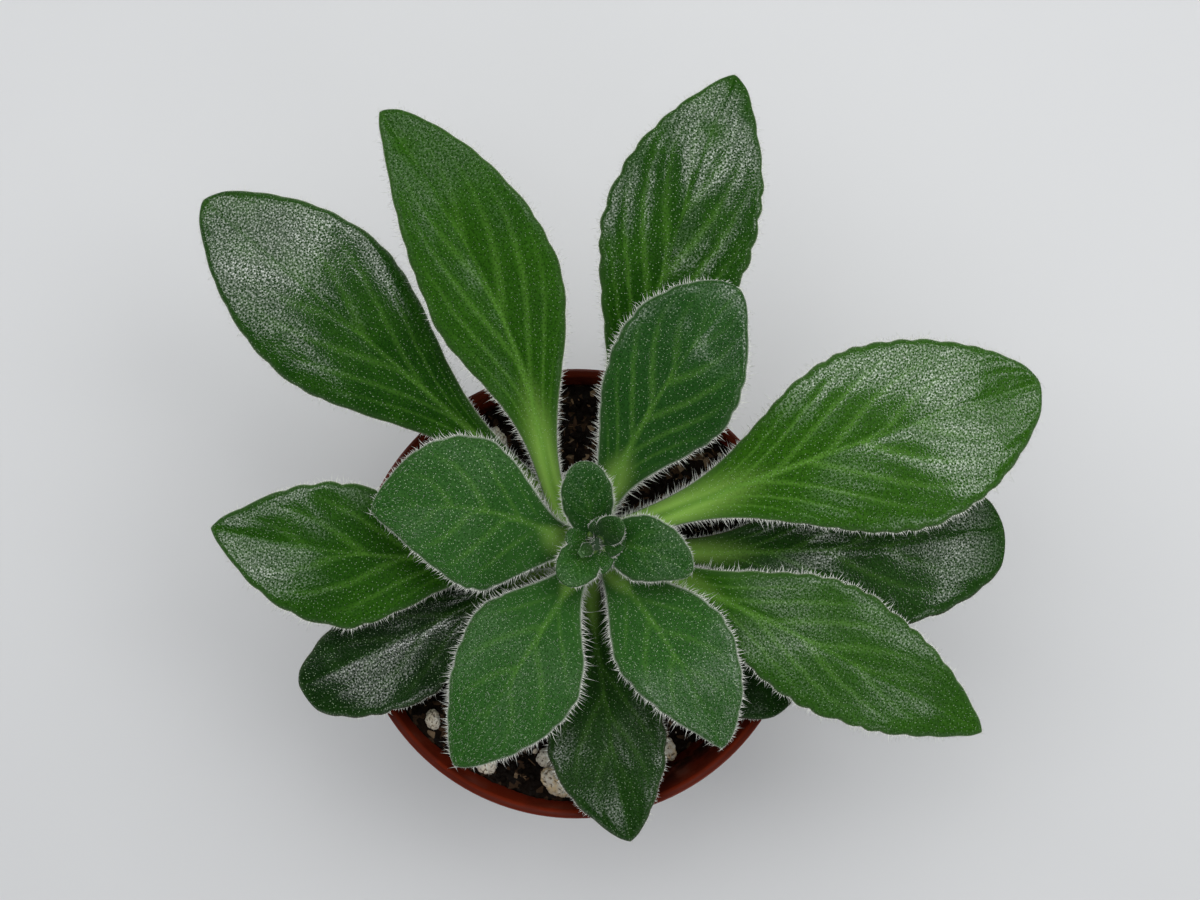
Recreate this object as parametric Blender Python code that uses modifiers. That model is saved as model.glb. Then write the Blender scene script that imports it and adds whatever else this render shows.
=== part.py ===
"""A potted primulina: a rosette of hairy scalloped leaves on a short stem, in soil, in a round nursery pot.

Metres, +Z up. The origin is the centre of the pot's underside, on the surface that the pot stands on.
Azimuths are in degrees, counted from +X towards +Y.
"""
import math
from dataclasses import dataclass

import bmesh
import bpy
from mathutils import Vector, noise

# Driving dimensions
CLEARANCE = 0.0003            # gap between pieces that touch

POT_HEIGHT = 0.070
POT_RIM_RADIUS = 0.045        # outside of the lip
POT_BASE_RADIUS = 0.031
POT_WALL = 0.0011
POT_LIP_RADIUS = 0.0009       # roundness of the rolled lip
POT_LIP_TURN = (180, -60)     # the lip's round runs from its inner side over the top to its outer side
POT_LIP_STEPS = 6
POT_LIP_DROP = 0.0012         # how far below its centre the lip runs into the wall outside
POT_SIDES = 48
FOOT_RISE = 0.0016            # how far the floor is raised between the foot and the centre boss
BOSS_RADIUS = 0.013
DRAIN_COUNT = 8
DRAIN_RADIUS = 0.0034
DRAIN_RING_RADIUS = 0.0215
DRAIN_SIDES = 12
CUT_PAST = 0.002              # how far a cutter runs past the face that it cuts

SOIL_LEVEL = 0.0610           # mean height of the soil round the stem
SOIL_DISH = 0.0045            # how much higher it lies against the wall
SOIL_DIPS = [                 # azimuth, depth and half angle of the places where it has sunk at the wall
    (-50.0, 0.0145, 48.0),
    (118.0, 0.0060, 26.0),
]
SOIL_BUMP = 0.0016
SOIL_BUMP_SIZE = 0.010
SOIL_RINGS = 8
SOIL_SIDES = 40

STEM_CENTRE = (0.004, 0.0098)
STEM_RADIUS = 0.0048
STEM_TOP = 0.0862
STEM_BOTTOM = 0.040           # height of the stem's cut end, in its hole
STEM_CORNER = 0.0006
STEM_SIDES = 24

STALK_DEPTH = 0.0030          # thickness at the foot of a full-grown stalk
BLADE_THICKNESS = 0.0008
RIB_THICKNESS = 0.0015
STALK_ROWS = 4                # rows of faces before the first scallop
BLADE_START = 0.30            # share of the reach where the scallops begin


@dataclass
class Leaf:
    """One leaf, stalk and blade. Left and right are as seen from the foot towards the tip, from above."""
    name: str
    foot: float               # azimuth of the place on the stem where the stalk starts
    aim: float                # azimuth of the tip, seen from the stem's axis
    reach: float              # level distance from the stem's axis to the tip
    bow: float                # sideways shift of the centre line half way along, positive to the left
    rise: tuple               # height of the upper side at the foot, half way and at the tip
    left: tuple               # half width, its place along the leaf, fullness of the base and of the tip
    right: tuple
    stalk: float = 0.0022     # half width of the stalk
    fold: float = 0.10        # slope of the two halves up from the midrib
    droop: float = 8.0        # downward curl of the margins, per metre
    scallops: int = 8         # on each side
    scallop: float = 0.0005   # depth of a scallop
    wave: float = 0.0006      # rise and fall of the margin
    depth: float = STALK_DEPTH
    seat: float = STEM_RADIUS + CLEARANCE
    finish: str = "leaf_mature"


LEAVES = [
    # Lowest tier: old dark leaves that lie out over the rim
    Leaf("leaf_low_left", foot=206, aim=-154.3, reach=0.0648, bow=0.0003, rise=(0.0655, 0.0770, 0.0755),
         left=(0.0126, 0.66, 3.4, 0.40), right=(0.0100, 0.62, 3.4, 0.62), scallops=8, finish="leaf_old"),
    Leaf("leaf_low_front", foot=256, aim=-83.5, reach=0.0588, bow=-0.0010, rise=(0.0650, 0.0775, 0.0745),
         left=(0.0106, 0.62, 3.0, 0.70), right=(0.0124, 0.62, 3.0, 0.74), scallops=7, finish="leaf_old"),
    Leaf("leaf_low_right", foot=304, aim=-39.6, reach=0.0498, bow=0.0, rise=(0.0645, 0.0750, 0.0735),
         left=(0.0105, 0.64, 3.0, 0.50), right=(0.0110, 0.64, 3.0, 0.50), scallops=6, stalk=0.0018,
         depth=0.0024, finish="leaf_old"),
    Leaf("leaf_low_east", foot=352, aim=1.8, reach=0.0789, bow=-0.0024, rise=(0.0665, 0.0815, 0.0820),
         left=(0.0140, 0.68, 3.4, 0.48), right=(0.0153, 0.68, 3.4, 0.45), scallops=9, finish="leaf_old"),
    # Second tier
    Leaf("leaf_northwest", foot=138, aim=139.0, reach=0.0986, bow=-0.0004, rise=(0.0700, 0.0900, 0.0920),
         left=(0.0156, 0.66, 3.8, 0.80), right=(0.0153, 0.68, 4.8, 0.74), scallops=11, scallop=0.0003),
    Leaf("leaf_north", foot=84, aim=73.5, reach=0.0914, bow=0.0020, rise=(0.0700, 0.0920, 0.0960),
         left=(0.0141, 0.66, 3.6, 0.98), right=(0.0147, 0.63, 3.4, 0.76), scallops=9, scallop=0.0007),
    Leaf("leaf_west", foot=202, aim=177.8, reach=0.0736, bow=0.0032, rise=(0.0700, 0.0860, 0.0860),
         left=(0.0142, 0.63, 4.4, 1.00), right=(0.0131, 0.64, 3.2, 0.85), scallops=8, scallop=0.0006),
    Leaf("leaf_southeast", foot=336, aim=-26.1, reach=0.0812, bow=0.0010, rise=(0.0725, 0.0905, 0.0860),
         left=(0.0128, 0.56, 3.0, 0.88), right=(0.0114, 0.58, 2.4, 0.90), scallops=9, scallop=0.0007),
    # Third tier: the two longest of the bright leaves
    Leaf("leaf_upper_left", foot=144, aim=116.7, reach=0.0876, bow=-0.0042, rise=(0.0760, 0.0980, 0.1040),
         left=(0.0117, 0.54, 3.6, 0.92), right=(0.0139, 0.57, 4.0, 0.70), scallops=10, scallop=0.0003,
         fold=0.16),
    Leaf("leaf_upper_right", foot=24, aim=19.8, reach=0.0886, bow=0.0008, rise=(0.0755, 0.0960, 0.0920),
         left=(0.0169, 0.60, 3.4, 0.72), right=(0.0188, 0.66, 3.0, 0.66), scallops=10, scallop=0.0007,
         stalk=0.0027, fold=0.12),
    # Fourth tier: soft hairy leaves round the crown
    Leaf("leaf_crown_left", foot=170, aim=172.2, reach=0.0419, bow=-0.0030, rise=(0.0820, 0.0975, 0.0960),
         left=(0.0146, 0.43, 1.1, 0.78), right=(0.0134, 0.54, 2.6, 0.60), scallops=6, scallop=0.0004,
         finish="leaf_young"),
    Leaf("leaf_crown_back", foot=80, aim=60.3, reach=0.0526, bow=0.0026, rise=(0.0810, 0.1000, 0.1040),
         left=(0.0122, 0.66, 1.9, 0.66), right=(0.0133, 0.57, 2.2, 0.78), scallops=7, scallop=0.0004,
         finish="leaf_young"),
    Leaf("leaf_crown_front", foot=238, aim=-122.5, reach=0.0492, bow=0.0002, rise=(0.0800, 0.0920, 0.0900),
         left=(0.0125, 0.52, 2.3, 0.80), right=(0.0123, 0.44, 2.0, 0.85), scallops=6, scallop=0.0004,
         finish="leaf_young"),
    Leaf("leaf_crown_right", foot=300, aim=-58.5, reach=0.0448, bow=0.0016, rise=(0.0790, 0.0920, 0.0905),
         left=(0.0113, 0.52, 1.8, 0.74), right=(0.0101, 0.45, 1.6, 1.00), scallops=6, scallop=0.0004,
         finish="leaf_young"),
]

# The crown's small leaves stand on the top of the stem
CROWN_DEPTH = 0.0012
CROWN_FOOT = STEM_TOP + CLEARANCE + CROWN_DEPTH
LEAVES += [
    Leaf("spoon_back", foot=104, aim=98.0, reach=0.0152, bow=0.0004, rise=(CROWN_FOOT, 0.0950, 0.0975),
         left=(0.0047, 0.60, 1.0, 0.48), right=(0.0047, 0.62, 1.0, 0.48), stalk=0.0011, fold=0.16,
         scallops=3, scallop=0.0002, wave=0.0002, depth=CROWN_DEPTH, seat=0.0030, finish="leaf_young"),
    Leaf("spoon_right", foot=-6, aim=-19.0, reach=0.0184, bow=0.0016, rise=(CROWN_FOOT, 0.0940, 0.0950),
         left=(0.0062, 0.45, 1.0, 0.55), right=(0.0060, 0.45, 1.0, 0.65), stalk=0.0011, fold=0.16,
         scallops=3, scallop=0.0002, wave=0.0002, depth=CROWN_DEPTH, seat=0.0030, finish="leaf_young"),
    Leaf("spoon_front", foot=-136, aim=-130.0, reach=0.0098, bow=0.0, rise=(CROWN_FOOT, 0.0925, 0.0940),
         left=(0.0040, 0.52, 0.9, 0.42), right=(0.0040, 0.52, 0.9, 0.42), stalk=0.0010, fold=0.16,
         scallops=3, scallop=0.0002, wave=0.0002, depth=CROWN_DEPTH, seat=0.0030, finish="leaf_young"),
    Leaf("heart_right", foot=40, aim=42.0, reach=0.0062, bow=0.0, rise=(CROWN_FOOT, 0.0945, 0.0975),
         left=(0.0026, 0.55, 0.8, 0.45), right=(0.0026, 0.55, 0.8, 0.45), stalk=0.0006, fold=0.20,
         scallops=2, scallop=0.0001, wave=0.0, depth=CROWN_DEPTH, seat=0.0010, finish="leaf_young"),
    Leaf("heart_left", foot=214, aim=216.0, reach=0.0034, bow=0.0, rise=(CROWN_FOOT, 0.0925, 0.0950),
         left=(0.0013, 0.50, 0.8, 0.50), right=(0.0013, 0.50, 0.8, 0.50), stalk=0.0006, fold=0.20,
         scallops=2, scallop=0.0001, wave=0.0, depth=CROWN_DEPTH, seat=0.0010, finish="leaf_young"),
]
LEAF_COLUMNS = 4              # faces across a leaf
TIP_HALF_WIDTH = 0.0003
STALK_TURN = 8                # how soon a stalk that leaves the stem squarely turns to its leaf's line
MARGIN_WAVES = 2.5            # rises and falls of the margin from foot to tip
LEFT_WAVE_START = 0.8         # where the waves begin on either side, in radians
RIGHT_WAVE_START = 2.4
HEADING_STEP = 0.01           # share of the reach over which the leaf's heading is taken
STALK_END = 0.45              # share of the reach where the stalk's thickness has run out
STALK_FADE = 1.5              # how soon it does
STALK_ROUND = (1.0, 0.85, 0.45)   # share of the stalk's depth at its middle, half way out and at its edge


@dataclass
class Grain:
    """One grain of perlite, pressed a little into the soil."""
    name: str
    place: tuple              # level position of its centre
    radii: tuple
    turn: float


GRAINS = [
    Grain("perlite_front_left", (-0.0184, -0.0346), (0.0025, 0.0022, 0.0019), 100),
    Grain("perlite_front_round", (-0.0062, -0.0338), (0.0019, 0.0018, 0.0017), 65),
    Grain("perlite_front_large", (-0.0038, -0.0383), (0.0037, 0.0027, 0.0025), 140),
    Grain("perlite_west", (-0.0292, -0.0260), (0.0020, 0.0015, 0.0015), 100),
    Grain("perlite_southeast", (0.0185, -0.0330), (0.0026, 0.0019, 0.0019), 105),
    Grain("perlite_back", (-0.0170, 0.0310), (0.0024, 0.0021, 0.0019), 80),
    Grain("perlite_east", (0.0330, 0.0090), (0.0022, 0.0019, 0.0018), 10),
    Grain("perlite_back_right", (0.0170, 0.0330), (0.0019, 0.0016, 0.0015), 150),
]
GRAIN_SINK = 0.35             # share of its height that a grain sits in the soil
GRAIN_ROUGHNESS = 0.22        # bumps, as a share of the radius
GRAIN_BUMPS = 1.7             # bumps to a grain

# Colour, roughness and metallic value of each finish
FINISHES = {
    "pot_plastic": ((0.19, 0.026, 0.013), 0.42, 0.0),
    "soil": ((0.020, 0.012, 0.007), 0.95, 0.0),
    "perlite": ((0.72, 0.66, 0.54), 0.90, 0.0),
    "stem": ((0.10, 0.20, 0.04), 0.60, 0.0),
    "leaf_old": ((0.012, 0.055, 0.014), 0.32, 0.0),
    "leaf_mature": ((0.030, 0.120, 0.022), 0.38, 0.0),
    "leaf_young": ((0.040, 0.130, 0.050), 0.50, 0.0),
}


def clear_scene():
    for item in list(bpy.data.objects):
        bpy.data.objects.remove(item, do_unlink=True)
    for group in list(bpy.data.collections):
        bpy.data.collections.remove(group)


def new_collection(name):
    group = bpy.data.collections.new(name)
    bpy.context.scene.collection.children.link(group)
    return group


def finish_material(name):
    """The finish's material, made the first time that it is asked for."""
    material = bpy.data.materials.get(name)
    if material:
        return material
    colour, roughness, metallic = FINISHES[name]
    material = bpy.data.materials.new(name)
    material.use_nodes = True
    shader = material.node_tree.nodes["Principled BSDF"]
    shader.inputs["Base Color"].default_value = (*colour, 1.0)
    shader.inputs["Roughness"].default_value = roughness
    shader.inputs["Metallic"].default_value = metallic
    return material


def add_object(name, mesh, group, finish=None):
    item = bpy.data.objects.new(name, mesh)
    group.objects.link(item)
    if finish:
        mesh.materials.append(finish_material(finish))
    return item


def as_cutter(item):
    item.hide_render = True
    item.display_type = "WIRE"
    return item


def cut(item, cutter):
    modifier = item.modifiers.new("cut_" + cutter.name, "BOOLEAN")
    modifier.operation = "DIFFERENCE"
    modifier.object = cutter
    modifier.solver = "EXACT"


def applied_mesh(item):
    """A plain mesh of the object as its modifiers leave it."""
    graph = bpy.context.evaluated_depsgraph_get()
    return bpy.data.meshes.new_from_object(item.evaluated_get(graph))


def turned(name, profile, sides, group, finish=None):
    """A solid turned round Z from (radius, height) points that start and end on the axis."""
    mesh = bpy.data.meshes.new(name)
    points = [(radius, 0.0, height) for radius, height in profile]
    mesh.from_pydata(points, [(i, i + 1) for i in range(len(points) - 1)], [])
    item = add_object(name, mesh, group, finish)
    screw = item.modifiers.new("turn", "SCREW")
    screw.steps = screw.render_steps = sides
    screw.use_merge_vertices = True
    screw.merge_threshold = 0.00001
    screw.use_smooth_shade = True
    return item


def upright_cylinder(name, radius, bottom, top, sides, place, group):
    """A plain cylinder that cuts a round hole."""
    mesh = bpy.data.meshes.new(name)
    form = bmesh.new()
    bmesh.ops.create_cone(form, cap_ends=True, segments=sides, radius1=radius, radius2=radius,
                          depth=top - bottom)
    form.to_mesh(mesh)
    form.free()
    item = add_object(name, mesh, group)
    item.location = (place[0], place[1], (top + bottom) / 2)
    return as_cutter(item)


def on_circle(radius, azimuth, centre=(0.0, 0.0)):
    turn = math.radians(azimuth)
    return Vector((centre[0] + radius * math.cos(turn), centre[1] + radius * math.sin(turn)))


# Pot
LIP_CENTRE_RADIUS = POT_RIM_RADIUS - POT_LIP_RADIUS
LIP_CENTRE_HEIGHT = POT_HEIGHT - POT_LIP_RADIUS
WALL_TOP_INSIDE = LIP_CENTRE_RADIUS - POT_LIP_RADIUS
WALL_TOP_OUTSIDE = WALL_TOP_INSIDE + POT_WALL
FLOOR_TOP = FOOT_RISE + POT_WALL
FOOT_WIDTH = 0.0025
EDGE_SOFTNESS = 0.0008


def wall_inside(height):
    """Inner radius of the pot at a height."""
    share = height / LIP_CENTRE_HEIGHT
    return POT_BASE_RADIUS - POT_WALL + (WALL_TOP_INSIDE - POT_BASE_RADIUS + POT_WALL) * share


def pot_profile():
    lip = []
    start, end = POT_LIP_TURN
    for step in range(POT_LIP_STEPS + 1):
        around = math.radians(start + (end - start) * step / POT_LIP_STEPS)
        lip.append((LIP_CENTRE_RADIUS + POT_LIP_RADIUS * math.cos(around),
                    LIP_CENTRE_HEIGHT + POT_LIP_RADIUS * math.sin(around)))
    inside = [(0.0, FLOOR_TOP), (wall_inside(FLOOR_TOP), FLOOR_TOP)]
    outside = [
        (WALL_TOP_OUTSIDE, LIP_CENTRE_HEIGHT - POT_LIP_DROP),
        (POT_BASE_RADIUS, EDGE_SOFTNESS),
        (POT_BASE_RADIUS - EDGE_SOFTNESS, 0.0),
        (POT_BASE_RADIUS - FOOT_WIDTH, 0.0),
        (POT_BASE_RADIUS - FOOT_WIDTH - FOOT_RISE, FOOT_RISE),
        (BOSS_RADIUS + FOOT_RISE, FOOT_RISE),
        (BOSS_RADIUS, 0.0),
        (0.0, 0.0),
    ]
    return inside + lip + outside


def make_pot(group, cutters):
    pot = turned("pot", pot_profile(), POT_SIDES, group, "pot_plastic")
    for index in range(DRAIN_COUNT):
        place = on_circle(DRAIN_RING_RADIUS, (index + 0.5) * 360 / DRAIN_COUNT)
        cut(pot, upright_cylinder(f"drain_{index + 1}", DRAIN_RADIUS, -CUT_PAST, FLOOR_TOP + CUT_PAST,
                                  DRAIN_SIDES, place, cutters))


# Soil, stem and perlite
def soil_height(x, y):
    """Height of the soil's surface: a bumpy dish, sunk in two places against the wall."""
    out = math.hypot(x, y) / POT_RIM_RADIUS
    azimuth = math.degrees(math.atan2(y, x))
    height = SOIL_LEVEL + SOIL_DISH * out ** 2
    for centre, depth, half_angle in SOIL_DIPS:
        away = abs((azimuth - centre + 180) % 360 - 180)
        if away < half_angle:
            height -= depth * math.cos(math.pi / 2 * away / half_angle) ** 2 * out ** 3
    return height + noise.noise(Vector((x, y, 0.0)) / SOIL_BUMP_SIZE) * SOIL_BUMP


def make_grain(grain, group, margin=0.0):
    """A rough lump. With a margin it is that much larger all round."""
    mesh = bpy.data.meshes.new(grain.name)
    form = bmesh.new()
    bmesh.ops.create_icosphere(form, subdivisions=2, radius=1.0)
    place = Vector((*grain.place, soil_height(*grain.place) + grain.radii[2] * (1 - 2 * GRAIN_SINK)))
    turn = math.radians(grain.turn)
    for vertex in form.verts:
        away = vertex.co.normalized()
        lump = 1 + GRAIN_ROUGHNESS * noise.noise(away * GRAIN_BUMPS + Vector((grain.turn, 0.0, 0.0)))
        local = Vector([away[i] * (grain.radii[i] * lump + margin) for i in range(3)])
        vertex.co = place + Vector((local.x * math.cos(turn) - local.y * math.sin(turn),
                                    local.x * math.sin(turn) + local.y * math.cos(turn), local.z))
    form.to_mesh(mesh)
    form.free()
    return add_object(grain.name, mesh, group, None if margin else "perlite")


def make_soil(group, cutters):
    top_edge = wall_inside(SOIL_LEVEL) - CLEARANCE
    bottom = FLOOR_TOP + CLEARANCE
    rings = [(top_edge * i / SOIL_RINGS, SOIL_LEVEL) for i in range(SOIL_RINGS + 1)]
    profile = rings + [(wall_inside(bottom) - CLEARANCE, bottom), (0.0, bottom)]
    blank = turned("soil_blank", profile, SOIL_SIDES, cutters)
    mesh = applied_mesh(blank)
    bpy.data.objects.remove(blank)
    mesh.name = "soil"
    for vertex in mesh.vertices:
        if vertex.co.z > SOIL_LEVEL - CLEARANCE:
            height = soil_height(vertex.co.x, vertex.co.y)
            at_wall = math.hypot(vertex.co.x, vertex.co.y) > top_edge * 0.999
            if at_wall:
                scale = (wall_inside(height) - CLEARANCE) / top_edge
                vertex.co.x *= scale
                vertex.co.y *= scale
            vertex.co.z = height
    soil = add_object("soil", mesh, group, "soil")
    cut(soil, upright_cylinder("stem_hole", STEM_RADIUS + CLEARANCE, STEM_BOTTOM - CLEARANCE,
                               POT_HEIGHT, STEM_SIDES, STEM_CENTRE, cutters))
    for grain in GRAINS:
        pocket = make_grain(grain, cutters, margin=CLEARANCE)
        pocket.name = grain.name + "_pocket"
        cut(soil, as_cutter(pocket))


def make_stem(group):
    profile = [(0.0, STEM_TOP), (STEM_RADIUS - STEM_CORNER, STEM_TOP),
               (STEM_RADIUS, STEM_TOP - STEM_CORNER), (STEM_RADIUS, STEM_BOTTOM), (0.0, STEM_BOTTOM)]
    stem = turned("stem", profile, STEM_SIDES, group, "stem")
    stem.location = (*STEM_CENTRE, 0.0)


# Leaves
def bell(t, side):
    """Share of a blade's half width at a share t of the reach, for one side of the leaf."""
    widest, base_fullness, tip_fullness = side[1:]
    if t < widest:
        return math.sin(math.pi / 2 * t / widest) ** base_fullness
    return max(0.0, math.cos(math.pi / 2 * (t - widest) / (1 - widest))) ** tip_fullness


def half_width(leaf, side, t):
    """Half width of the leaf at t, with its scallops. Side is a leaf's left or right."""
    share = bell(t, side)
    stalk_at_widest = leaf.stalk * (1 - side[1])
    width = leaf.stalk * (1 - t) + (side[0] - stalk_at_widest) * share
    if t > BLADE_START:
        turn = math.pi * leaf.scallops * (t - BLADE_START) / (1 - BLADE_START)
        width += leaf.scallop * (abs(math.sin(turn)) - 0.5) * share
    return max(width, TIP_HALF_WIDTH)


def centre_line(leaf, t):
    """Level position of the leaf's centre line, from its foot on the stem to its tip."""
    foot = math.radians(leaf.foot - leaf.aim)
    ahead_at_foot, aside_at_foot = leaf.seat * math.cos(foot), leaf.seat * math.sin(foot)
    ahead = ahead_at_foot + (leaf.reach - ahead_at_foot) * t
    square_slope = math.tan(foot) * (leaf.reach - ahead_at_foot)
    hook = square_slope + aside_at_foot - 4 * leaf.bow
    aside = aside_at_foot * (1 - t) + 4 * leaf.bow * t * (1 - t) + hook * t * (1 - t) ** STALK_TURN
    forward = on_circle(1.0, leaf.aim)
    leftward = on_circle(1.0, leaf.aim + 90)
    return Vector(STEM_CENTRE) + forward * ahead + leftward * aside


def centre_height(leaf, t):
    foot, middle, tip = leaf.rise
    return foot + (4 * middle - 3 * foot - tip) * t + (2 * foot + 2 * tip - 4 * middle) * t * t


def leaf_point(leaf, t, across):
    """A point of the leaf's upper side. Across runs from -1 at the right margin to 1 at the left."""
    side = leaf.left if across > 0 else leaf.right
    width = half_width(leaf, side, t)
    aside = across * width
    if t == 0.0:
        azimuth = leaf.foot + math.degrees(aside / leaf.seat)
        level = on_circle(leaf.seat, azimuth, STEM_CENTRE)
    else:
        ahead, behind = min(t + HEADING_STEP, 1.0), t - HEADING_STEP
        heading = (centre_line(leaf, ahead) - centre_line(leaf, behind)).normalized()
        level = centre_line(leaf, t) + Vector((-heading.y, heading.x)) * aside
    wave_start = LEFT_WAVE_START if across > 0 else RIGHT_WAVE_START
    ruffle = leaf.wave * math.sin(2 * math.pi * MARGIN_WAVES * t + wave_start)
    lift = (leaf.fold * abs(aside) - leaf.droop * aside * aside
            + ruffle * across * across * bell(t, side))
    return Vector((level.x, level.y, centre_height(leaf, t) + lift))


def leaf_stations(leaf):
    """Places along the leaf where its rows of points lie: a notch and a crest of the margin in turn."""
    stalk = [BLADE_START * i / STALK_ROWS for i in range(STALK_ROWS)]
    steps = 2 * leaf.scallops
    return stalk + [BLADE_START + (1 - BLADE_START) * i / steps for i in range(steps + 1)]


def leaf_thickness(leaf, t, across):
    """Thickness of the leaf: stout along the stalk, then a rib that fades out under a thin blade."""
    stalk = max(0.0, 1 - t / STALK_END) ** STALK_FADE
    rib_end = min(RIB_THICKNESS, leaf.depth)
    rib = BLADE_THICKNESS + (rib_end - BLADE_THICKNESS) * (1 - t)
    share = STALK_ROUND[round(abs(across) * 2)]
    plain = rib if across == 0 else BLADE_THICKNESS
    return plain + (leaf.depth * share - plain) * stalk


def make_leaf(leaf, group):
    stations = leaf_stations(leaf)
    bpy.ops.mesh.primitive_grid_add(x_subdivisions=LEAF_COLUMNS, y_subdivisions=len(stations) - 1, size=2)
    item = bpy.context.object
    item.name = item.data.name = leaf.name
    for owner in list(item.users_collection):
        owner.objects.unlink(item)
    group.objects.link(item)
    weights = item.vertex_groups.new(name="thickness")
    thinnest = min(BLADE_THICKNESS, leaf.depth)
    rows = len(stations) - 1
    for vertex in item.data.vertices:
        across = round(vertex.co.x * 2) / 2
        t = stations[round((vertex.co.y + 1) / 2 * rows)]
        share = (leaf_thickness(leaf, t, across) - thinnest) / (leaf.depth - thinnest)
        weights.add([vertex.index], share, "REPLACE")
        # The grid's left is -X when its rows run towards +Y
        vertex.co = leaf_point(leaf, t, -across)
    form = bmesh.new()
    form.from_mesh(item.data)
    bmesh.ops.triangulate(form, faces=form.faces)
    form.to_mesh(item.data)
    form.free()
    item.data.shade_smooth()
    item.data.materials.append(finish_material(leaf.finish))
    solid = item.modifiers.new("thickness", "SOLIDIFY")
    solid.thickness = leaf.depth
    solid.thickness_vertex_group = thinnest / leaf.depth
    solid.vertex_group = weights.name
    solid.offset = -1.0


def main():
    clear_scene()
    plant = new_collection("potted_primulina")
    cutters = new_collection("cutters")
    make_pot(plant, cutters)
    make_soil(plant, cutters)
    make_stem(plant)
    for grain in GRAINS:
        make_grain(grain, plant)
    for leaf in LEAVES:
        make_leaf(leaf, plant)


main()
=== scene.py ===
"""The looks of a potted primulina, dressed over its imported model.

Metres, +Z up, in the model's frame: the origin is the centre of the pot's underside. Azimuths are in
degrees, counted from +X towards +Y. A place on a leaf is given by t, from 0 at the foot of its stalk to 1 at
its tip, and by across, from -1 at its right margin to 1 at its left.
"""

import math
from dataclasses import dataclass

import bpy
import numpy as np
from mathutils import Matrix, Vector, noise


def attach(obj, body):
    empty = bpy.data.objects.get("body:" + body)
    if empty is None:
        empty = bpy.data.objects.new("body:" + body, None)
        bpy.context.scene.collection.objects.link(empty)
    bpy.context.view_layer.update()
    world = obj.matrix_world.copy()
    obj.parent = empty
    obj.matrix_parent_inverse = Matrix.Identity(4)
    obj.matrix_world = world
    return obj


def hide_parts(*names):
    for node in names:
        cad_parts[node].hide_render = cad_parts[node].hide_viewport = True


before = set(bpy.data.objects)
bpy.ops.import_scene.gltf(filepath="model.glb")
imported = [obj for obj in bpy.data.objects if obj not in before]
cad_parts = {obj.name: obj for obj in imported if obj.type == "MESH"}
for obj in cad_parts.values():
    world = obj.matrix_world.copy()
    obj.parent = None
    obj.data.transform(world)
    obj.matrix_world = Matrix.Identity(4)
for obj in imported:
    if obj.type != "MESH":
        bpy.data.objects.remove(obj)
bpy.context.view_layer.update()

bl_info = {
    "name": "Potted primulina",
    "version": (1, 0, 0),
    "blender": (4, 5, 0),
    "location": "3D View > Sidebar > Primulina",
    "description": "Makes a potted primulina with hairy leaves, its soil and its nursery pot",
    "category": "Add Mesh",
}

BODY = "root"
NEARLY_NONE = 1e-5

# Camera: 1200 by 900 pixels, looking down on the plant, with +Y up in the picture
CAMERA_PLACE = (0.0047, 0.0100, 0.3719)
CAMERA_TILT = 3.5
LENS = 45.0
SENSOR = 36.0

# Pot
POT_HEIGHT = 0.070
RIM_RADIUS = 0.045
BASE_RADIUS = 0.031
WALL = 0.0011
LIP_RADIUS = 0.0009
LIP_CREST_SHIFT = 0.0004      # how far the crest of the lip lies outward
FOOT_RISE = 0.0016
BOSS_RADIUS = 0.013
FOOT_WIDTH = 0.0025
EDGE_SOFTNESS = 0.0008
DRAIN_COUNT = 8
DRAIN_RADIUS = 0.0034
DRAIN_RING_RADIUS = 0.0215
BAND_HEIGHT = 0.0095          # the stiffer band below the lip
BAND_STEP = 0.00035
POT_SIDES = 144
POT_SMOOTH_ANGLE = 38
DRAIN_SIDES = 32
WALL_STEPS = 8                # rings up the wall outside, and down it inside
INSIDE_STEPS = 14
LIP_DROP = 0.0012             # how far below the lip's centre the wall outside ends
LIP_TURN = (-50, 181, 15)     # degrees round the lip: start, end and step
LIP_CENTRE_RADIUS = RIM_RADIUS - LIP_RADIUS
LIP_CENTRE_HEIGHT = POT_HEIGHT - LIP_RADIUS
WALL_TOP_INSIDE = LIP_CENTRE_RADIUS - LIP_RADIUS
FLOOR_TOP = FOOT_RISE + WALL

# Soil
SOIL_LEVEL = 0.0610           # mean height of the soil round the stem
SOIL_DISH = 0.0045            # how much higher it lies against the wall
SOIL_DIPS = [(-50.0, 0.0145, 48.0), (118.0, 0.0060, 26.0)]   # azimuth, depth and half angle
SOIL_BUMP = 0.0016
SOIL_BUMP_SIZE = 0.010
SOIL_CELLS = 132
SOIL_EDGE_GAP = 0.0001        # between the soil and the wall
SOIL_EDGE_SHARE = 0.999       # share of the soil's radius where its edge starts
CLOD_SIZE = 0.0032
CLOD_RISE = 0.0011
CRUMB_SIZE = 0.0011
CRUMB_RISE = 0.0005

# Stem
STEM_CENTRE = (0.004, 0.0098)
STEM_RADIUS = 0.0048
STEM_TOP = 0.0862
STEM_BOTTOM = 0.040
FOOT_SINK = 0.0006            # how far a stalk runs into the stem
TUFT_COUNT = 260
TUFT_RADIUS = 0.0024

# Leaves: the shape that they share
CLEARANCE = 0.0003
STALK_DEPTH = 0.0030
BLADE_THICKNESS = 0.0008
EDGE_THICKNESS = 0.00016
RIB_THICKNESS = 0.0015
RIB_WIDTH = 0.0009
BLADE_START = 0.30
TIP_HALF_WIDTH = 0.0003
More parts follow.
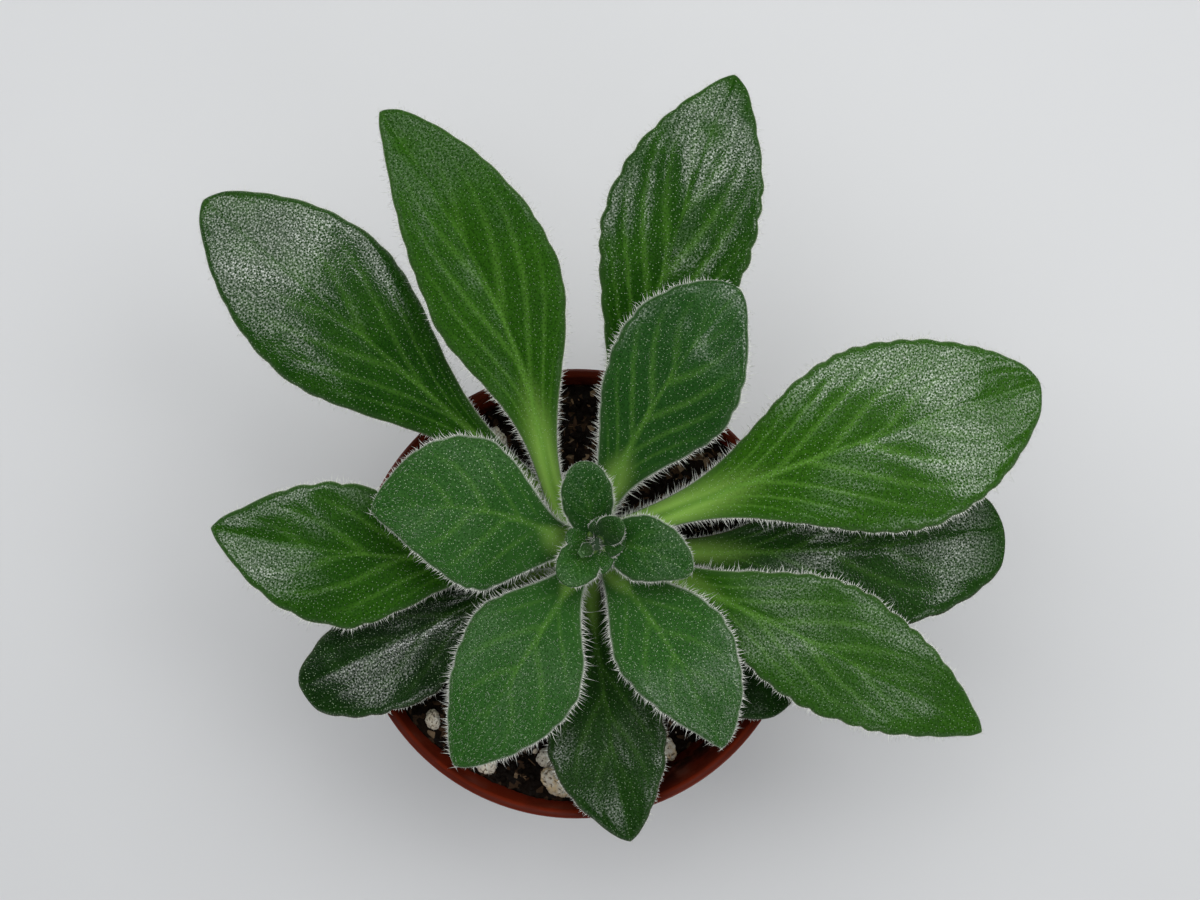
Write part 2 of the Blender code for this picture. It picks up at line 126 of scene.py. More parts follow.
# Size of each unevenness of the scallops, its waves along the leaf and its shift from side to side
SCALLOP_UNEVEN = ((0.35, 23, 4000), (0.25, 41, 9000))
TIP_CUT = 0.012               # share of a blade's length that its blunt tip lacks
TIP_ROUND = 0.026             # share of a leaf over which its tip rounds off
SWELL = 0.00022               # soft rise and fall all over a blade
STALK_TURN = 8
MARGIN_WAVES = 2.5
LEFT_WAVE_START = 0.8
RIGHT_WAVE_START = 2.4
STALK_END = 0.45
STALK_FADE = 1.5
HEADING_STEP = 0.01           # share of a leaf over which its direction is measured
FACING_STEP = 0.004
FOOT_SHARE = 0.03             # share of a leaf that bends round the stem
ROW_STEP = 0.0008             # length of a face along a leaf
COLUMN_STEP = 0.00085
LEAST_ROWS = 24
LEAST_COLUMNS = 7             # on each side of the midrib
EVEN_SHARE = 0.55             # how evenly the columns stand, and how close towards the margins
CROWDED_SHARE = 0.45
TIP_CROWDING = 1.25           # the same for the rows, towards the tip
RELIEF_START = 0.25           # where along the leaf its relief starts, and over what share it grows
RELIEF_RUN = 0.2
GROOVE_DEPTH = 0.00032        # of the midrib, in the upper side
GROOVE_WIDTH = 0.0006
ROLL_WIDTH = 0.0013           # of the margin that curls down
ROLL_DEPTH = 0.0003
VEIN_SHIFT = 0.4              # how far ahead of the right side's veins the left side's are
VEIN_BEND = 1.3               # how a side vein curves forward on its way to the margin

CROWN_DEPTH = 0.0012
CROWN_SEAT = 0.0014           # how far from the stem's axis the crown's small leaves are seen to start
CROWN_FOOT = STEM_TOP + CLEARANCE + CROWN_DEPTH


LITTLE = 0.02                 # a leaf that reaches less far than this is one of the crown's small ones


@dataclass
class Leaf:
    """One leaf: the shape of its solid, then its relief, its colour and its hairs."""
    name: str
    foot: float               # azimuth of the place on the stem where the stalk starts
    aim: float                # azimuth of the tip, seen from the stem's axis
    reach: float              # level distance from the stem's axis to the tip
    bow: float                # sideways shift of the centre line half way along, positive to the left
    rise: tuple               # height of the upper side at the foot, half way and at the tip
    left: tuple               # half width, its place along the leaf, fullness of the base and of the tip
    right: tuple
    finish: str = "leaf_mature"
    stalk: float = 0.0022     # half width of the stalk
    fold: float = 0.10        # slope of the two halves up from the midrib
    droop: float = 8.0        # downward curl of the margins, per metre
    scallops: int = 8         # on each side
    scallop: float = 0.0005   # depth of a scallop
    wave: float = 0.0006      # rise and fall of the margin
    depth: float = STALK_DEPTH
    seat: float = STEM_RADIUS + CLEARANCE
    lean: float = 0.42        # how far forward a side vein has run at the margin, as a share of the reach
    gap: float = 0.12         # between two side veins, as a share of the reach
    puff: float = 0.0003      # bulge of the blade between its side veins
    gloss: float = 0.15       # roughness of the shine on the upper side
    shine: float = 1.0        # strength of that shine
    shone: tuple = (0.30, 1.3)    # where along the leaf it starts and where it ends
    broken: float = 0.3       # how far it is broken into patches
    specks: float = 0.5       # strength of the pale specks, painted glints of hair tips
    veins: float = 0.4        # strength of the side veins' colour
    midrib: float = 0.6       # strength of the midrib's colour
    run: float = 0.34         # how far along the leaf the stalk's pale green runs
    pale: float = 0.95        # strength of that green
    tone: float = 0.5         # from the dark to the light colour of its finish
    fringe: float = 0.0018    # length of the hairs on its margins
    down: float = 1.0         # how dense its short hairs are, next to those of other leaves of its age

    @property
    def little(self):
        return self.reach < LITTLE

    @property
    def widest(self):
        return max(self.left[0], self.right[0])


# What the leaves of one age share
OLD = {"finish": "leaf_old", "gap": 0.18, "run": 0.3}
YOUNG = {"finish": "leaf_young", "scallops": 6, "scallop": 0.0004, "run": 0.22}
SMALL = {"finish": "leaf_young", "gloss": 0.35, "veins": 0.1, "run": 0.12}
SPOON = {**SMALL, "stalk": 0.0020, "fold": 0.16, "scallops": 3, "scallop": 0.0002, "wave": 0.0002,
         "depth": CROWN_DEPTH, "seat": 0.0030, "gap": 0.25, "puff": 0.00005, "shine": 0.2, "specks": 0.8,
         "pale": 0.4, "fringe": 0.0013}
TINY = {**SMALL, "scallops": 2, "scallop": 0.0001, "wave": 0.0, "gap": 0.3, "puff": 0.0, "midrib": 0.1}
HEART = {**TINY, "fold": 0.20, "depth": CROWN_DEPTH, "seat": 0.0010, "shine": 0.2, "pale": 0.4}
BUD = {**TINY, "depth": 0.0006, "seat": 0.0008, "shine": 0.1, "pale": 0.2, "tone": 0.3, "fringe": 0.0009,
       "down": 2.0}

LEAVES = [
    # Lowest tier: old dark leaves that lie out over the rim
    Leaf("leaf_low_left", 206, -154.3, 0.0648, 0.0003, (0.0655, 0.0770, 0.0755),
         (0.0126, 0.66, 3.4, 0.40), (0.0100, 0.62, 3.4, 0.62), **OLD, lean=0.45, puff=0.00004,
         gloss=0.18, broken=0.2, specks=0.7, veins=0.1, midrib=0.15, tone=0.1, fringe=0.0011),
    Leaf("leaf_low_front", 256, -83.5, 0.0588, -0.0010, (0.0650, 0.0775, 0.0745),
         (0.0106, 0.62, 3.0, 0.84), (0.0124, 0.62, 3.0, 0.88), **OLD, scallops=7, puff=0.00005,
         gloss=0.2, shone=(0.55, 1.3), veins=0.15, midrib=0.2, fringe=0.0013),
    Leaf("leaf_low_right", 304, -39.6, 0.0498, 0.0, (0.0645, 0.0750, 0.0735),
         (0.0105, 0.64, 3.0, 0.50), (0.0110, 0.64, 3.0, 0.50), **OLD, scallops=6, stalk=0.0018,
         depth=0.0024, puff=0.00005, gloss=0.16, shine=0.15, veins=0.1, midrib=0.2, tone=0.2, fringe=0.0012),
    Leaf("leaf_low_east", 352, 1.8, 0.0789, -0.0024, (0.0665, 0.0815, 0.0820),
         (0.0140, 0.68, 3.4, 0.48), (0.0153, 0.68, 3.4, 0.45), "leaf_old", scallops=9, gap=0.15,
         puff=0.000055, gloss=0.13, shine=0.75, shone=(0.38, 1.02), veins=0.2, midrib=0.3, run=0.42,
         tone=0.7, fringe=0.0013),
    # Second tier
    Leaf("leaf_northwest", 138, 139.0, 0.0986, -0.0004, (0.0700, 0.0900, 0.0920),
         (0.0156, 0.66, 3.8, 0.80), (0.0153, 0.68, 4.8, 0.74), scallops=11, scallop=0.0003, lean=0.5,
         gap=0.16, puff=0.000035, gloss=0.14, shone=(0.54, 1.3), broken=0.1, veins=0.22, midrib=0.4,
         run=0.36, tone=0.1, fringe=0.0014),
    Leaf("leaf_north", 84, 73.5, 0.0914, 0.0020, (0.0700, 0.0920, 0.0960),
         (0.0141, 0.66, 3.6, 0.98), (0.0147, 0.63, 3.4, 0.76), scallops=12, scallop=0.0006, fold=0.17,
         lean=0.52, gap=0.15, puff=0.00015, gloss=0.14, shine=0.75, shone=(0.42, 1.3), broken=0.8,
         specks=0.7, veins=0.35, midrib=0.35, run=0.38, tone=0.2, fringe=0.0016),
    Leaf("leaf_west", 202, 177.8, 0.0736, 0.0032, (0.0700, 0.0860, 0.0860),
         (0.0142, 0.63, 4.4, 1.00), (0.0131, 0.64, 3.2, 0.85), scallop=0.0006, gap=0.16, puff=0.000055,
         shine=0.85, shone=(0.64, 1.3), veins=0.3, midrib=0.5, tone=0.3),
    Leaf("leaf_southeast", 336, -26.1, 0.0812, 0.0010, (0.0725, 0.0905, 0.0860),
         (0.0128, 0.56, 3.0, 0.88), (0.0114, 0.58, 2.4, 0.90), scallops=12, scallop=0.0006, gap=0.14,
         puff=0.00005, gloss=0.25, shine=0.55, veins=0.3, midrib=0.5, tone=0.55, fringe=0.0019),
    # Third tier: the two longest of the bright leaves
    Leaf("leaf_upper_left", 144, 116.7, 0.0876, -0.0042, (0.0760, 0.0980, 0.1040),
         (0.0117, 0.54, 3.6, 0.92), (0.0139, 0.57, 4.0, 0.70), scallops=10, scallop=0.0003, fold=0.22,
         lean=0.62, gap=0.19, puff=0.000015, gloss=0.17, shine=0.2, broken=0.8, specks=0.35, veins=0.35,
         run=0.42),
    Leaf("leaf_upper_right", 24, 19.8, 0.0886, 0.0008, (0.0755, 0.0960, 0.0920),
         (0.0169, 0.60, 3.4, 0.72), (0.0188, 0.66, 3.0, 0.66), scallops=14, stalk=0.0027, fold=0.12,
         gap=0.125, puff=0.00015, gloss=0.17, shine=0.95, shone=(0.45, 1.3), broken=0.2, veins=0.45,
         midrib=0.75, run=0.42, tone=0.85, fringe=0.0020),
    # Fourth tier: soft hairy leaves round the crown
    Leaf("leaf_crown_left", 170, 172.2, 0.0419, -0.0030, (0.0820, 0.0975, 0.0960),
         (0.0146, 0.43, 1.1, 0.95), (0.0134, 0.54, 2.6, 0.85), **YOUNG, lean=0.34, gap=0.17,
         puff=0.00006, gloss=0.25, shine=0.08, specks=0.8, veins=0.25, midrib=0.35, pale=0.5, tone=0.75,
         fringe=0.0022, down=0.8),
    Leaf("leaf_crown_back", 80, 60.3, 0.0526, 0.0026, (0.0810, 0.1000, 0.1040),
         (0.0122, 0.66, 1.9, 0.66), (0.0133, 0.57, 2.2, 0.78), "leaf_young", scallops=7, scallop=0.0004,
         lean=0.46, gap=0.16, puff=0.00006, gloss=0.16, shine=0.6, broken=0.7, specks=0.55, veins=0.3,
         midrib=0.5, tone=0.15, fringe=0.0020, down=0.25),
    Leaf("leaf_crown_front", 238, -122.5, 0.0492, 0.0002, (0.0800, 0.0920, 0.0900),
         (0.0125, 0.52, 2.3, 0.80), (0.0123, 0.44, 2.0, 0.85), **YOUNG, lean=0.36, gap=0.2,
         puff=0.00004, gloss=0.28, shine=0.12, specks=0.6, veins=0.2, midrib=0.35, pale=0.6, tone=0.7,
         fringe=0.0025),
    Leaf("leaf_crown_right", 300, -58.5, 0.0448, 0.0016, (0.0790, 0.0920, 0.0905),
         (0.0113, 0.52, 1.8, 0.74), (0.0101, 0.45, 1.6, 1.00), **YOUNG, lean=0.36, gap=0.2,
         puff=0.00004, gloss=0.3, shine=0.85, shone=(0.55, 1.3), specks=0.8, veins=0.2, midrib=0.35,
         pale=0.6, tone=0.8, fringe=0.0025),
    # The crown's small leaves
    Leaf("spoon_back", 104, 98.0, 0.0152, 0.0004, (CROWN_FOOT, 0.0950, 0.0975),
         (0.0047, 0.60, 0.8, 0.48), (0.0047, 0.62, 0.8, 0.48), **SPOON, midrib=0.12, tone=0.1),
    Leaf("spoon_right", -6, -19.0, 0.0184, 0.0016, (CROWN_FOOT, 0.0940, 0.0950),
         (0.0062, 0.45, 0.8, 0.55), (0.0060, 0.45, 0.8, 0.65), **SPOON, midrib=0.2, tone=0.3),
    Leaf("spoon_front", -136, -130.0, 0.0098, 0.0, (CROWN_FOOT, 0.0925, 0.0940),
         (0.0040, 0.52, 0.7, 0.42), (0.0040, 0.52, 0.7, 0.42), **SPOON, midrib=0.12, tone=0.6),
    Leaf("heart_right", 40, 42.0, 0.0062, 0.0, (CROWN_FOOT, 0.0945, 0.0975),
         (0.0027, 0.55, 0.7, 0.45), (0.0027, 0.55, 0.7, 0.45), **HEART, stalk=0.0013, tone=0.2,
         fringe=0.0006),
    Leaf("heart_left", 214, 216.0, 0.0034, 0.0, (CROWN_FOOT, 0.0925, 0.0950),
         (0.0013, 0.50, 0.8, 0.50), (0.0013, 0.50, 0.8, 0.50), **HEART, stalk=0.0006, tone=0.4,
         fringe=0.00025),
]


def bud(name, azimuth, reach, heights, half_width, stalk, fold):
    side = (half_width, 0.50, 0.6, 0.5)
    return Leaf(name, azimuth, azimuth, reach, 0.0, (STEM_TOP, *heights), side, side,
                stalk=stalk, fold=fold, **BUD)


# Folded buds that hide the stem's top. They stand for no solid.
BUDS = [
    bud("bud_back", 75, 0.0050, (0.0905, 0.0925), 0.0021, 0.0012, 0.30),
    bud("bud_left", 165, 0.0060, (0.0893, 0.0900), 0.0028, 0.0018, 0.25),
    bud("bud_front", 280, 0.0060, (0.0892, 0.0900), 0.0029, 0.0018, 0.25),
    bud("bud_right", 0, 0.0055, (0.0898, 0.0915), 0.0026, 0.0016, 0.28),
]

# Perlite: name, level position, radii, turn and how cream it is
GRAINS = [
    ("perlite_front_left", (-0.0184, -0.0346), (0.0025, 0.0022, 0.0019), 100, 0.15),
    ("perlite_front_round", (-0.0062, -0.0338), (0.0019, 0.0018, 0.0017), 65, 0.15),
    ("perlite_front_large", (-0.0038, -0.0383), (0.0037, 0.0027, 0.0025), 140, 0.8),
    ("perlite_west", (-0.0292, -0.0260), (0.0020, 0.0015, 0.0015), 100, 0.3),
    ("perlite_southeast", (0.0185, -0.0330), (0.0026, 0.0019, 0.0019), 105, 0.9),
    ("perlite_back", (-0.0170, 0.0310), (0.0024, 0.0021, 0.0019), 80, 0.3),
    ("perlite_east", (0.0330, 0.0090), (0.0022, 0.0019, 0.0018), 10, 0.4),
    ("perlite_back_right", (0.0170, 0.0330), (0.0019, 0.0016, 0.0015), 150, 0.3),
]
GRAIN_SINK = 0.35             # share of its height that a grain sits in the soil
GRAIN_ROUGHNESS = 0.22        # bumps, as a share of the radius
GRAIN_BUMPS = 1.7             # bumps to a grain, then those of its crust, of finer lumps and of grit
CRUST_BUMPS = 4.5
LUMP_BUMPS = 11
GRIT_BUMPS = 26


# Small helpers
def on_circle(radius, azimuth, centre=(0.0, 0.0)):
    turn = np.radians(azimuth)
    return np.stack([centre[0] + radius * np.cos(turn), centre[1] + radius * np.sin(turn)], -1)


def smooth_step(value):
    share = np.clip(value, 0.0, 1.0)
    return share * share * (3 - 2 * share)


def unit(directions):
    return directions / np.linalg.norm(directions, axis=-1, keepdims=True)


def shade(colour, share):
    return tuple(part * share for part in colour)


def deselect_all():
    for item in bpy.context.selected_objects:
        item.select_set(False)


def named(piece, name):
    piece.name = piece.data.name = name
    return piece


def apply_modifier(piece, modifier):
    bpy.context.view_layer.objects.active = piece
    bpy.ops.object.modifier_apply(modifier=modifier.name)


def mesh_points(piece):
    points = np.empty(len(piece.data.vertices) * 3, np.float32)
    piece.data.vertices.foreach_get("co", points)
    return points.reshape(-1, 3).astype(float)


def set_mesh_points(piece, points):
    piece.data.vertices.foreach_set("co", np.asarray(points, np.float32).ravel())
    piece.data.update()


def note_points(piece, name, *values):
    """Keeps three numbers for each point of a piece, for its material to read."""
    kept = piece.data.attributes.new(name, "FLOAT_VECTOR", "POINT")
    kept.data.foreach_set("vector", np.asarray(np.stack(values, -1), np.float32).ravel())


def in_edit_mode(piece):
    """Opens a piece with all of it selected."""
    bpy.context.view_layer.objects.active = piece
    bpy.ops.object.mode_set(mode="EDIT")
    bpy.ops.mesh.select_all(action="SELECT")


def in_object_mode():
    bpy.ops.object.mode_set(mode="OBJECT")


def close_outwards(inside=False):
    """Turns all the faces outwards, or inwards, and leaves edit mode."""
    bpy.ops.mesh.select_all(action="SELECT")
    bpy.ops.mesh.normals_make_consistent(inside=inside)
    in_object_mode()


def taken_apart(item):
    """The points and faces of an object, which is then removed."""
    points = mesh_points(item)
    faces = np.array([list(face.vertices) for face in item.data.polygons])
    mesh = item.data
    bpy.data.objects.remove(item)
    bpy.data.meshes.remove(mesh)
    return points, faces


def made_of_copies(name, points, faces):
    """One piece out of many copies of a shape, from each copy's points and one copy's faces."""
    count, size = points.shape[:2]
    indices = (faces[None] + (np.arange(count) * size)[:, None, None]).reshape(-1, faces.shape[1])
    mesh = bpy.data.meshes.new(name)
    mesh.from_pydata(points.reshape(-1, 3).tolist(), [], indices.tolist())
    piece = bpy.data.objects.new(name, mesh)
    bpy.context.scene.collection.objects.link(piece)
    return piece


def finish_piece(piece, material, node=None):
    """Gives a piece its material, lets it ride on the plant's body and hides the part of the model that it
    stands for.
    """
    piece.data.materials.clear()
    piece.data.materials.append(material)
    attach(piece, BODY)
    if node:
        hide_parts(node)


# Materials
class Finish:
    """Builds one material node by node. An input takes a number, a colour or another node's output."""

    def __init__(self, name):
        self.material = bpy.data.materials.new(name)
        self.material.use_nodes = True
        self.tree = self.material.node_tree
        self.shader = self.tree.nodes["Principled BSDF"]
        self.place = self.node("ShaderNodeTexCoord").outputs["Object"]

    def node(self, kind, *values, **settings):
        node = self.tree.nodes.new(kind)
        for key, value in settings.items():
            setattr(node, key, value)
        for socket, value in zip(node.inputs, values):
            self.put(socket, value)
        return node

    def put(self, socket, value):
        if isinstance(value, bpy.types.NodeSocket):
            self.tree.links.new(value, socket)
        elif isinstance(value, tuple) and len(value) == 3 and socket.type == "RGBA":
            socket.default_value = (*value, 1.0)
        else:
            socket.default_value = value

    def set(self, **values):
        """Sets or links the shader's own inputs, with their spaces written as underscores."""
        for key, value in values.items():
            self.put(self.shader.inputs[key.replace("_", " ")], value)

    def math(self, operation, first, second=0.0, clamp=False):
        return self.node("ShaderNodeMath", first, second, operation=operation, use_clamp=clamp).outputs[0]

    def times(self, product, *factors):
        for factor in factors:
            product = self.math("MULTIPLY", product, factor)
        return product

    def fade(self, value, start, end, low=0.0, high=1.0):
        """Runs smoothly from low to high while the value runs from start to end."""
        return self.node("ShaderNodeMapRange", value, start, end, low, high,
                         interpolation_type="SMOOTHSTEP").outputs[0]

    def mix(self, share, first, second):
        node = self.node("ShaderNodeMix", share, data_type="RGBA")
        self.put(node.inputs[6], first)
        self.put(node.inputs[7], second)
        return node.outputs[2]

    def noise(self, size, detail=2.0, place=None):
        node = self.node("ShaderNodeTexNoise", place or self.place)
        node.inputs["Scale"].default_value = 1 / size
        node.inputs["Detail"].default_value = detail
        return node.outputs["Fac"]

    def blotch(self, size, detail, start, end, low=0.0, high=1.0):
        """Noise of that size, between two levels."""
        return self.fade(self.noise(size, detail), start, end, low, high)

    def cells(self, size, output="Distance", place=None):
        """Distance to the nearest of many dots, or each dot's colour. At a given place they lie flat."""
        node = self.node("ShaderNodeTexVoronoi", place or self.place)
        node.voronoi_dimensions = "2D" if place else "3D"
        node.inputs["Scale"].default_value = 1 / size
        return node.outputs[output]

    def height(self):
        return self.node("ShaderNodeSeparateXYZ", self.place).outputs[2]

    def attribute(self, name):
        """The three numbers that note_points has kept."""
        kept = self.node("ShaderNodeAttribute", attribute_name=name).outputs["Vector"]
        return self.node("ShaderNodeSeparateXYZ", kept).outputs

    def bump(self, height, rise, below=None):
        """A relief whose height runs from 0 to 1, that high in metres, on top of another one."""
        node = self.node("ShaderNodeBump")
        node.inputs["Distance"].default_value = rise
        self.put(node.inputs["Height"], height)
        if below:
            self.put(node.inputs["Normal"], below)
        return node.outputs["Normal"]


# Leaf skin: sizes of its patterns, and heights of its relief
BLOTCH_SIZE = 0.007
MOTTLE_SIZE = 0.0009           # fine mottling of the green
PIT_SIZE = 0.00058
PIT_DEPTH = 0.000016
PEBBLE_SIZE = 0.0005
SPECK_SIZE = 0.0009
SPECK_CLUSTER = 0.003
RIPPLE_SIZE = 0.0022
RIPPLE_DEPTH = 0.00005
DENT_SIZE = 0.0065
DENT_DEPTH = 0.0002
SHINE_PATCH = 0.011
VEIN_HALF_WIDTH = 0.0010
VEIN_DEPTH = 0.00003
VEIN_WANDER = 0.0003          # how far a side vein strays from its course
MIDRIB_FOOT = 0.0012          # half width of the midrib's colour at the foot and at the tip
MIDRIB_TIP = 0.0004
MIDRIB_NEAR = 0.0009          # nearer to the midrib than this the shine weakens and the specks stand thick
MARGIN_DULL = 0.0016          # width of the dull band inside the margin
MARGIN_LINE = 0.0003          # width of the pale line on it, a painted highlight
YOUNG_LINE = 0.00035          # the same on a young leaf
LITTLE_LINE = 0.015           # the same on the smallest leaves, as a share of their reach
# Colour of the painted glints where hair tips catch the light
GLINT_COLOUR = (0.42, 0.55, 0.34)
DULL_COLOUR = (0.07, 0.12, 0.05)
COAT_IOR = 2.15


def leaf_material(leaf, colours):
    """Blade, veins, midrib, stalk, margin, a shiny skin pricked all over with dull pits, and painted
    highlights.
    """
    finish = Finish("finish_" + leaf.name)
    vein_place, aside, across = finish.attribute("leaf_veins")
    t, margin, under = finish.attribute("leaf_along")
    from_midrib = finish.math("ABSOLUTE", across)
    midrib_away = finish.math("ABSOLUTE", aside)
    flat = finish.node("ShaderNodeCombineXYZ", aside, finish.times(t, leaf.reach)).outputs[0]
    dark, light = colours[leaf.finish]
    blade = tuple(low + (high - low) * leaf.tone for low, high in zip(dark, light))
    colour = finish.mix(finish.blotch(BLOTCH_SIZE, 3.0, 0.35, 0.7, 0.0, 0.35), blade, light)
    colour = finish.mix(finish.blotch(MOTTLE_SIZE, 2.0, 0.35, 0.75, 0.0, 0.35), colour, dark)
    # The stalk's pale green runs out into the blade along the midrib
    reach_out = finish.math("ADD", t, finish.times(from_midrib, 0.14))
    colour = finish.mix(finish.fade(reach_out, 0.10, leaf.run, leaf.pale, 0.0), colour, colours["stalk"])
    # Side veins: a place between two whole numbers is a share of the way from one vein to the next
    nearest = finish.math("ABSOLUTE", finish.math("SUBTRACT", finish.math("FRACT", vein_place), 0.5))
    crowding = math.hypot(1 / leaf.reach, 1.12 * leaf.lean / leaf.widest) / leaf.gap
    away = finish.math("DIVIDE", finish.math("SUBTRACT", 0.5, nearest), crowding)
    wander = finish.times(finish.math("SUBTRACT", finish.noise(0.0012), 0.5), VEIN_WANDER)
    vein = finish.times(finish.fade(finish.math("ADD", away, wander), 0.0, VEIN_HALF_WIDTH, 1.0, 0.0),
                        finish.fade(from_midrib, 0.5, 0.95, 1.0, 0.05),
                        finish.fade(t, 0.9, 0.55, 0.15, 1.0), finish.fade(t, 0.12, 0.3))
    colour = finish.mix(finish.times(vein, leaf.veins), colour, colours["vein"])
    midrib_width = finish.fade(t, 0.1, 0.9, MIDRIB_FOOT, MIDRIB_TIP)
    midrib = finish.times(finish.fade(finish.math("DIVIDE", midrib_away, midrib_width), 0.0, 1.0, 1.0, 0.0),
                          finish.fade(t, 0.35, 0.75, leaf.midrib, 0.2 * leaf.midrib))
    colour = finish.mix(midrib, colour, colours["vein"])
    # Pits, painted darker; pebble tops painted lighter, a painted highlight; and pale specks, painted glints
    # where hair tips catch the light
    on_blade = finish.fade(t, 0.18, 0.42)
    pit_away = finish.cells(PIT_SIZE, place=flat)
    pit = finish.times(finish.fade(pit_away, 0.15, 0.36, 1.0, 0.0), on_blade)
    pebble = finish.times(finish.fade(finish.cells(PEBBLE_SIZE, place=flat), 0.12, 0.5, 1.0, 0.0), on_blade)
    colour = finish.mix(finish.times(pit, 0.5), colour, shade(dark, 0.35))
    # Painted highlight: the pebbles' tops are painted lighter, for the soft sheen each one catches
    colour = finish.mix(finish.times(pebble, 0.10), colour, shade(light, 1.6))
    off_midrib = finish.math("DIVIDE", midrib_away, MIDRIB_NEAR)
    cluster = finish.fade(finish.noise(SPECK_CLUSTER, 1.0, flat), 0.30, 0.55)
    painted_glint = finish.times(finish.fade(finish.cells(SPECK_SIZE, place=flat), 0.05, 0.12, leaf.specks, 0.0),
                         finish.math("MAXIMUM", cluster, finish.fade(off_midrib, 0.3, 0.7, 1.0, 0.0)))
    colour = finish.mix(painted_glint, colour, GLINT_COLOUR)
    # The dull margin with its pale line, a painted highlight where the rounded margin catches the light, and
    # the lighter underside
    colour = finish.mix(finish.fade(margin, MARGIN_LINE, MARGIN_DULL, 0.2, 0.0), colour, DULL_COLOUR)
    line, highlight_line_colour = colours["margin_" + leaf.finish]
    line = min(line, LITTLE_LINE * leaf.reach)
    colour = finish.mix(finish.fade(margin, line * 0.3, line, 0.8, 0.0), colour, highlight_line_colour)
    mostly_under = finish.times(under, 0.8)
    colour = finish.mix(mostly_under, colour, colours["underside"])
    # Skin: a shiny net round the pits, broken into patches, that dies away towards the margin
    start, end = leaf.shone
    patches = finish.noise(SHINE_PATCH, 1.0, flat)
    shine = finish.times(finish.fade(pebble, 0.0, 1.0, 0.25, 1.0), finish.math("SUBTRACT", 1.0, pit),
                         finish.fade(margin, 0.0, 0.0005), finish.fade(off_midrib, 0.2, 0.6, 0.55, 1.0),
                         finish.fade(reach_out, start, start + 0.22),
                         finish.fade(t, end - 0.2, end, 1.0, 0.0),
                         finish.fade(patches, 0.42, 0.56, 1.0 - leaf.broken, 1.0))
    shine = finish.math("MULTIPLY", shine, finish.math("SUBTRACT", leaf.shine, mostly_under), clamp=True)
    normal = finish.bump(finish.fade(pit_away, 0.0, 0.5), PIT_DEPTH)
    normal = finish.bump(finish.noise(RIPPLE_SIZE, 1.0), RIPPLE_DEPTH, normal)
    normal = finish.bump(finish.noise(DENT_SIZE, 1.0), DENT_DEPTH, normal)
    normal = finish.bump(finish.math("SUBTRACT", 1.0, vein), VEIN_DEPTH, normal)
    finish.set(Base_Color=colour, Roughness=finish.blotch(0.004, 2.0, 0.3, 0.7, 0.50, 0.62), Normal=normal,
               Specular_IOR_Level=0.04, Coat_Weight=shine, Coat_Roughness=leaf.gloss, Coat_IOR=COAT_IOR,
               Coat_Normal=normal)
    if leaf.finish == "leaf_young":
        finish.set(Sheen_Weight=0.05 * leaf.down, Sheen_Roughness=0.4, Sheen_Tint=(0.75, 0.95, 0.80))
    return finish.material


def hair_material(colour):
    finish = Finish("finish_hairs")
    tint = finish.mix(finish.noise(0.004), colour, shade(colour, 0.75))
    finish.set(Base_Color=tint, Roughness=0.3, Specular_IOR_Level=0.8)
    return finish.material


STAIN_COLOUR = (0.012, 0.006, 0.004)
STAIN_TOP = 0.012             # how far below the rim the stains on the wall inside grow weak


def pot_material(colour):
    """Satin plastic, scuffed, with soil stains and painted light on the wall inside, and a painted highlight
    on the lip.
    """
    finish = Finish("finish_pot")
    inside, edge, _ = finish.attribute("pot_side")
    tint = finish.mix(finish.blotch(0.02, 3.0, 0.3, 0.7, 0.0, 0.5), colour, shade(colour, 0.7))
    # Painted light: the wall inside is painted lighter than the plastic, for the glow of the thin wall in
    # its shade
    tint = finish.mix(inside, tint, shade(colour, 1.5))
    depth = finish.fade(finish.height(), POT_HEIGHT, POT_HEIGHT - STAIN_TOP, 0.25, 1.0)
    stain = finish.times(finish.blotch(0.006, 6.0, 0.46, 0.64), depth, inside)
    tint = finish.mix(stain, tint, STAIN_COLOUR)
    # Painted highlight: the crest of the lip is painted lighter
    tint = finish.mix(edge, tint, shade(colour, 1.6))
    scuffed = tuple(min(1.0, 2.2 * part + 0.03) for part in colour)
    tint = finish.mix(finish.blotch(0.0015, 4.0, 0.66, 0.74, 0.0, 0.15), tint, scuffed)
    roughness = finish.math("ADD", finish.blotch(0.003, 4.0, 0.3, 0.7, 0.30, 0.46), finish.times(stain, 0.4),
                            clamp=True)
    normal = finish.bump(finish.noise(0.0008, 2.0), 0.00002)
    normal = finish.bump(finish.noise(0.015, 2.0), 0.00008, normal)
    finish.set(Base_Color=tint, Roughness=roughness, Normal=normal, Specular_IOR_Level=0.08,
               Coat_Weight=finish.times(edge, 0.85), Coat_Roughness=0.18, Coat_IOR=1.5)
    return finish.material


PEAT_BIT = 0.0012             # size of the bits of other colours in the peat
BROWN_BIT = (0.055, 0.030, 0.016)
PALE_BIT = (0.22, 0.15, 0.09)


def soil_material(colour):
    """Dark damp peat with brown and a few pale specks."""
    finish = Finish("finish_soil")
    brown, pale, _ = finish.node("ShaderNodeSeparateColor", finish.cells(PEAT_BIT, "Color")).outputs
    tint = finish.mix(finish.blotch(0.005, 4.0, 0.35, 0.7), colour, shade(colour, 2.4))
    tint = finish.mix(finish.fade(brown, 0.80, 0.86, 0.0, 0.8), tint, BROWN_BIT)
    tint = finish.mix(finish.fade(pale, 0.955, 0.965, 0.0, 0.8), tint, PALE_BIT)
    normal = finish.bump(finish.noise(0.0007, 4.0), 0.0003)
    normal = finish.bump(finish.cells(PEAT_BIT), 0.0004, normal)
    finish.set(Base_Color=tint, Roughness=finish.blotch(0.0025, 2.0, 0.35, 0.65, 0.45, 0.95), Normal=normal,
               Specular_IOR_Level=0.08)
    return finish.material


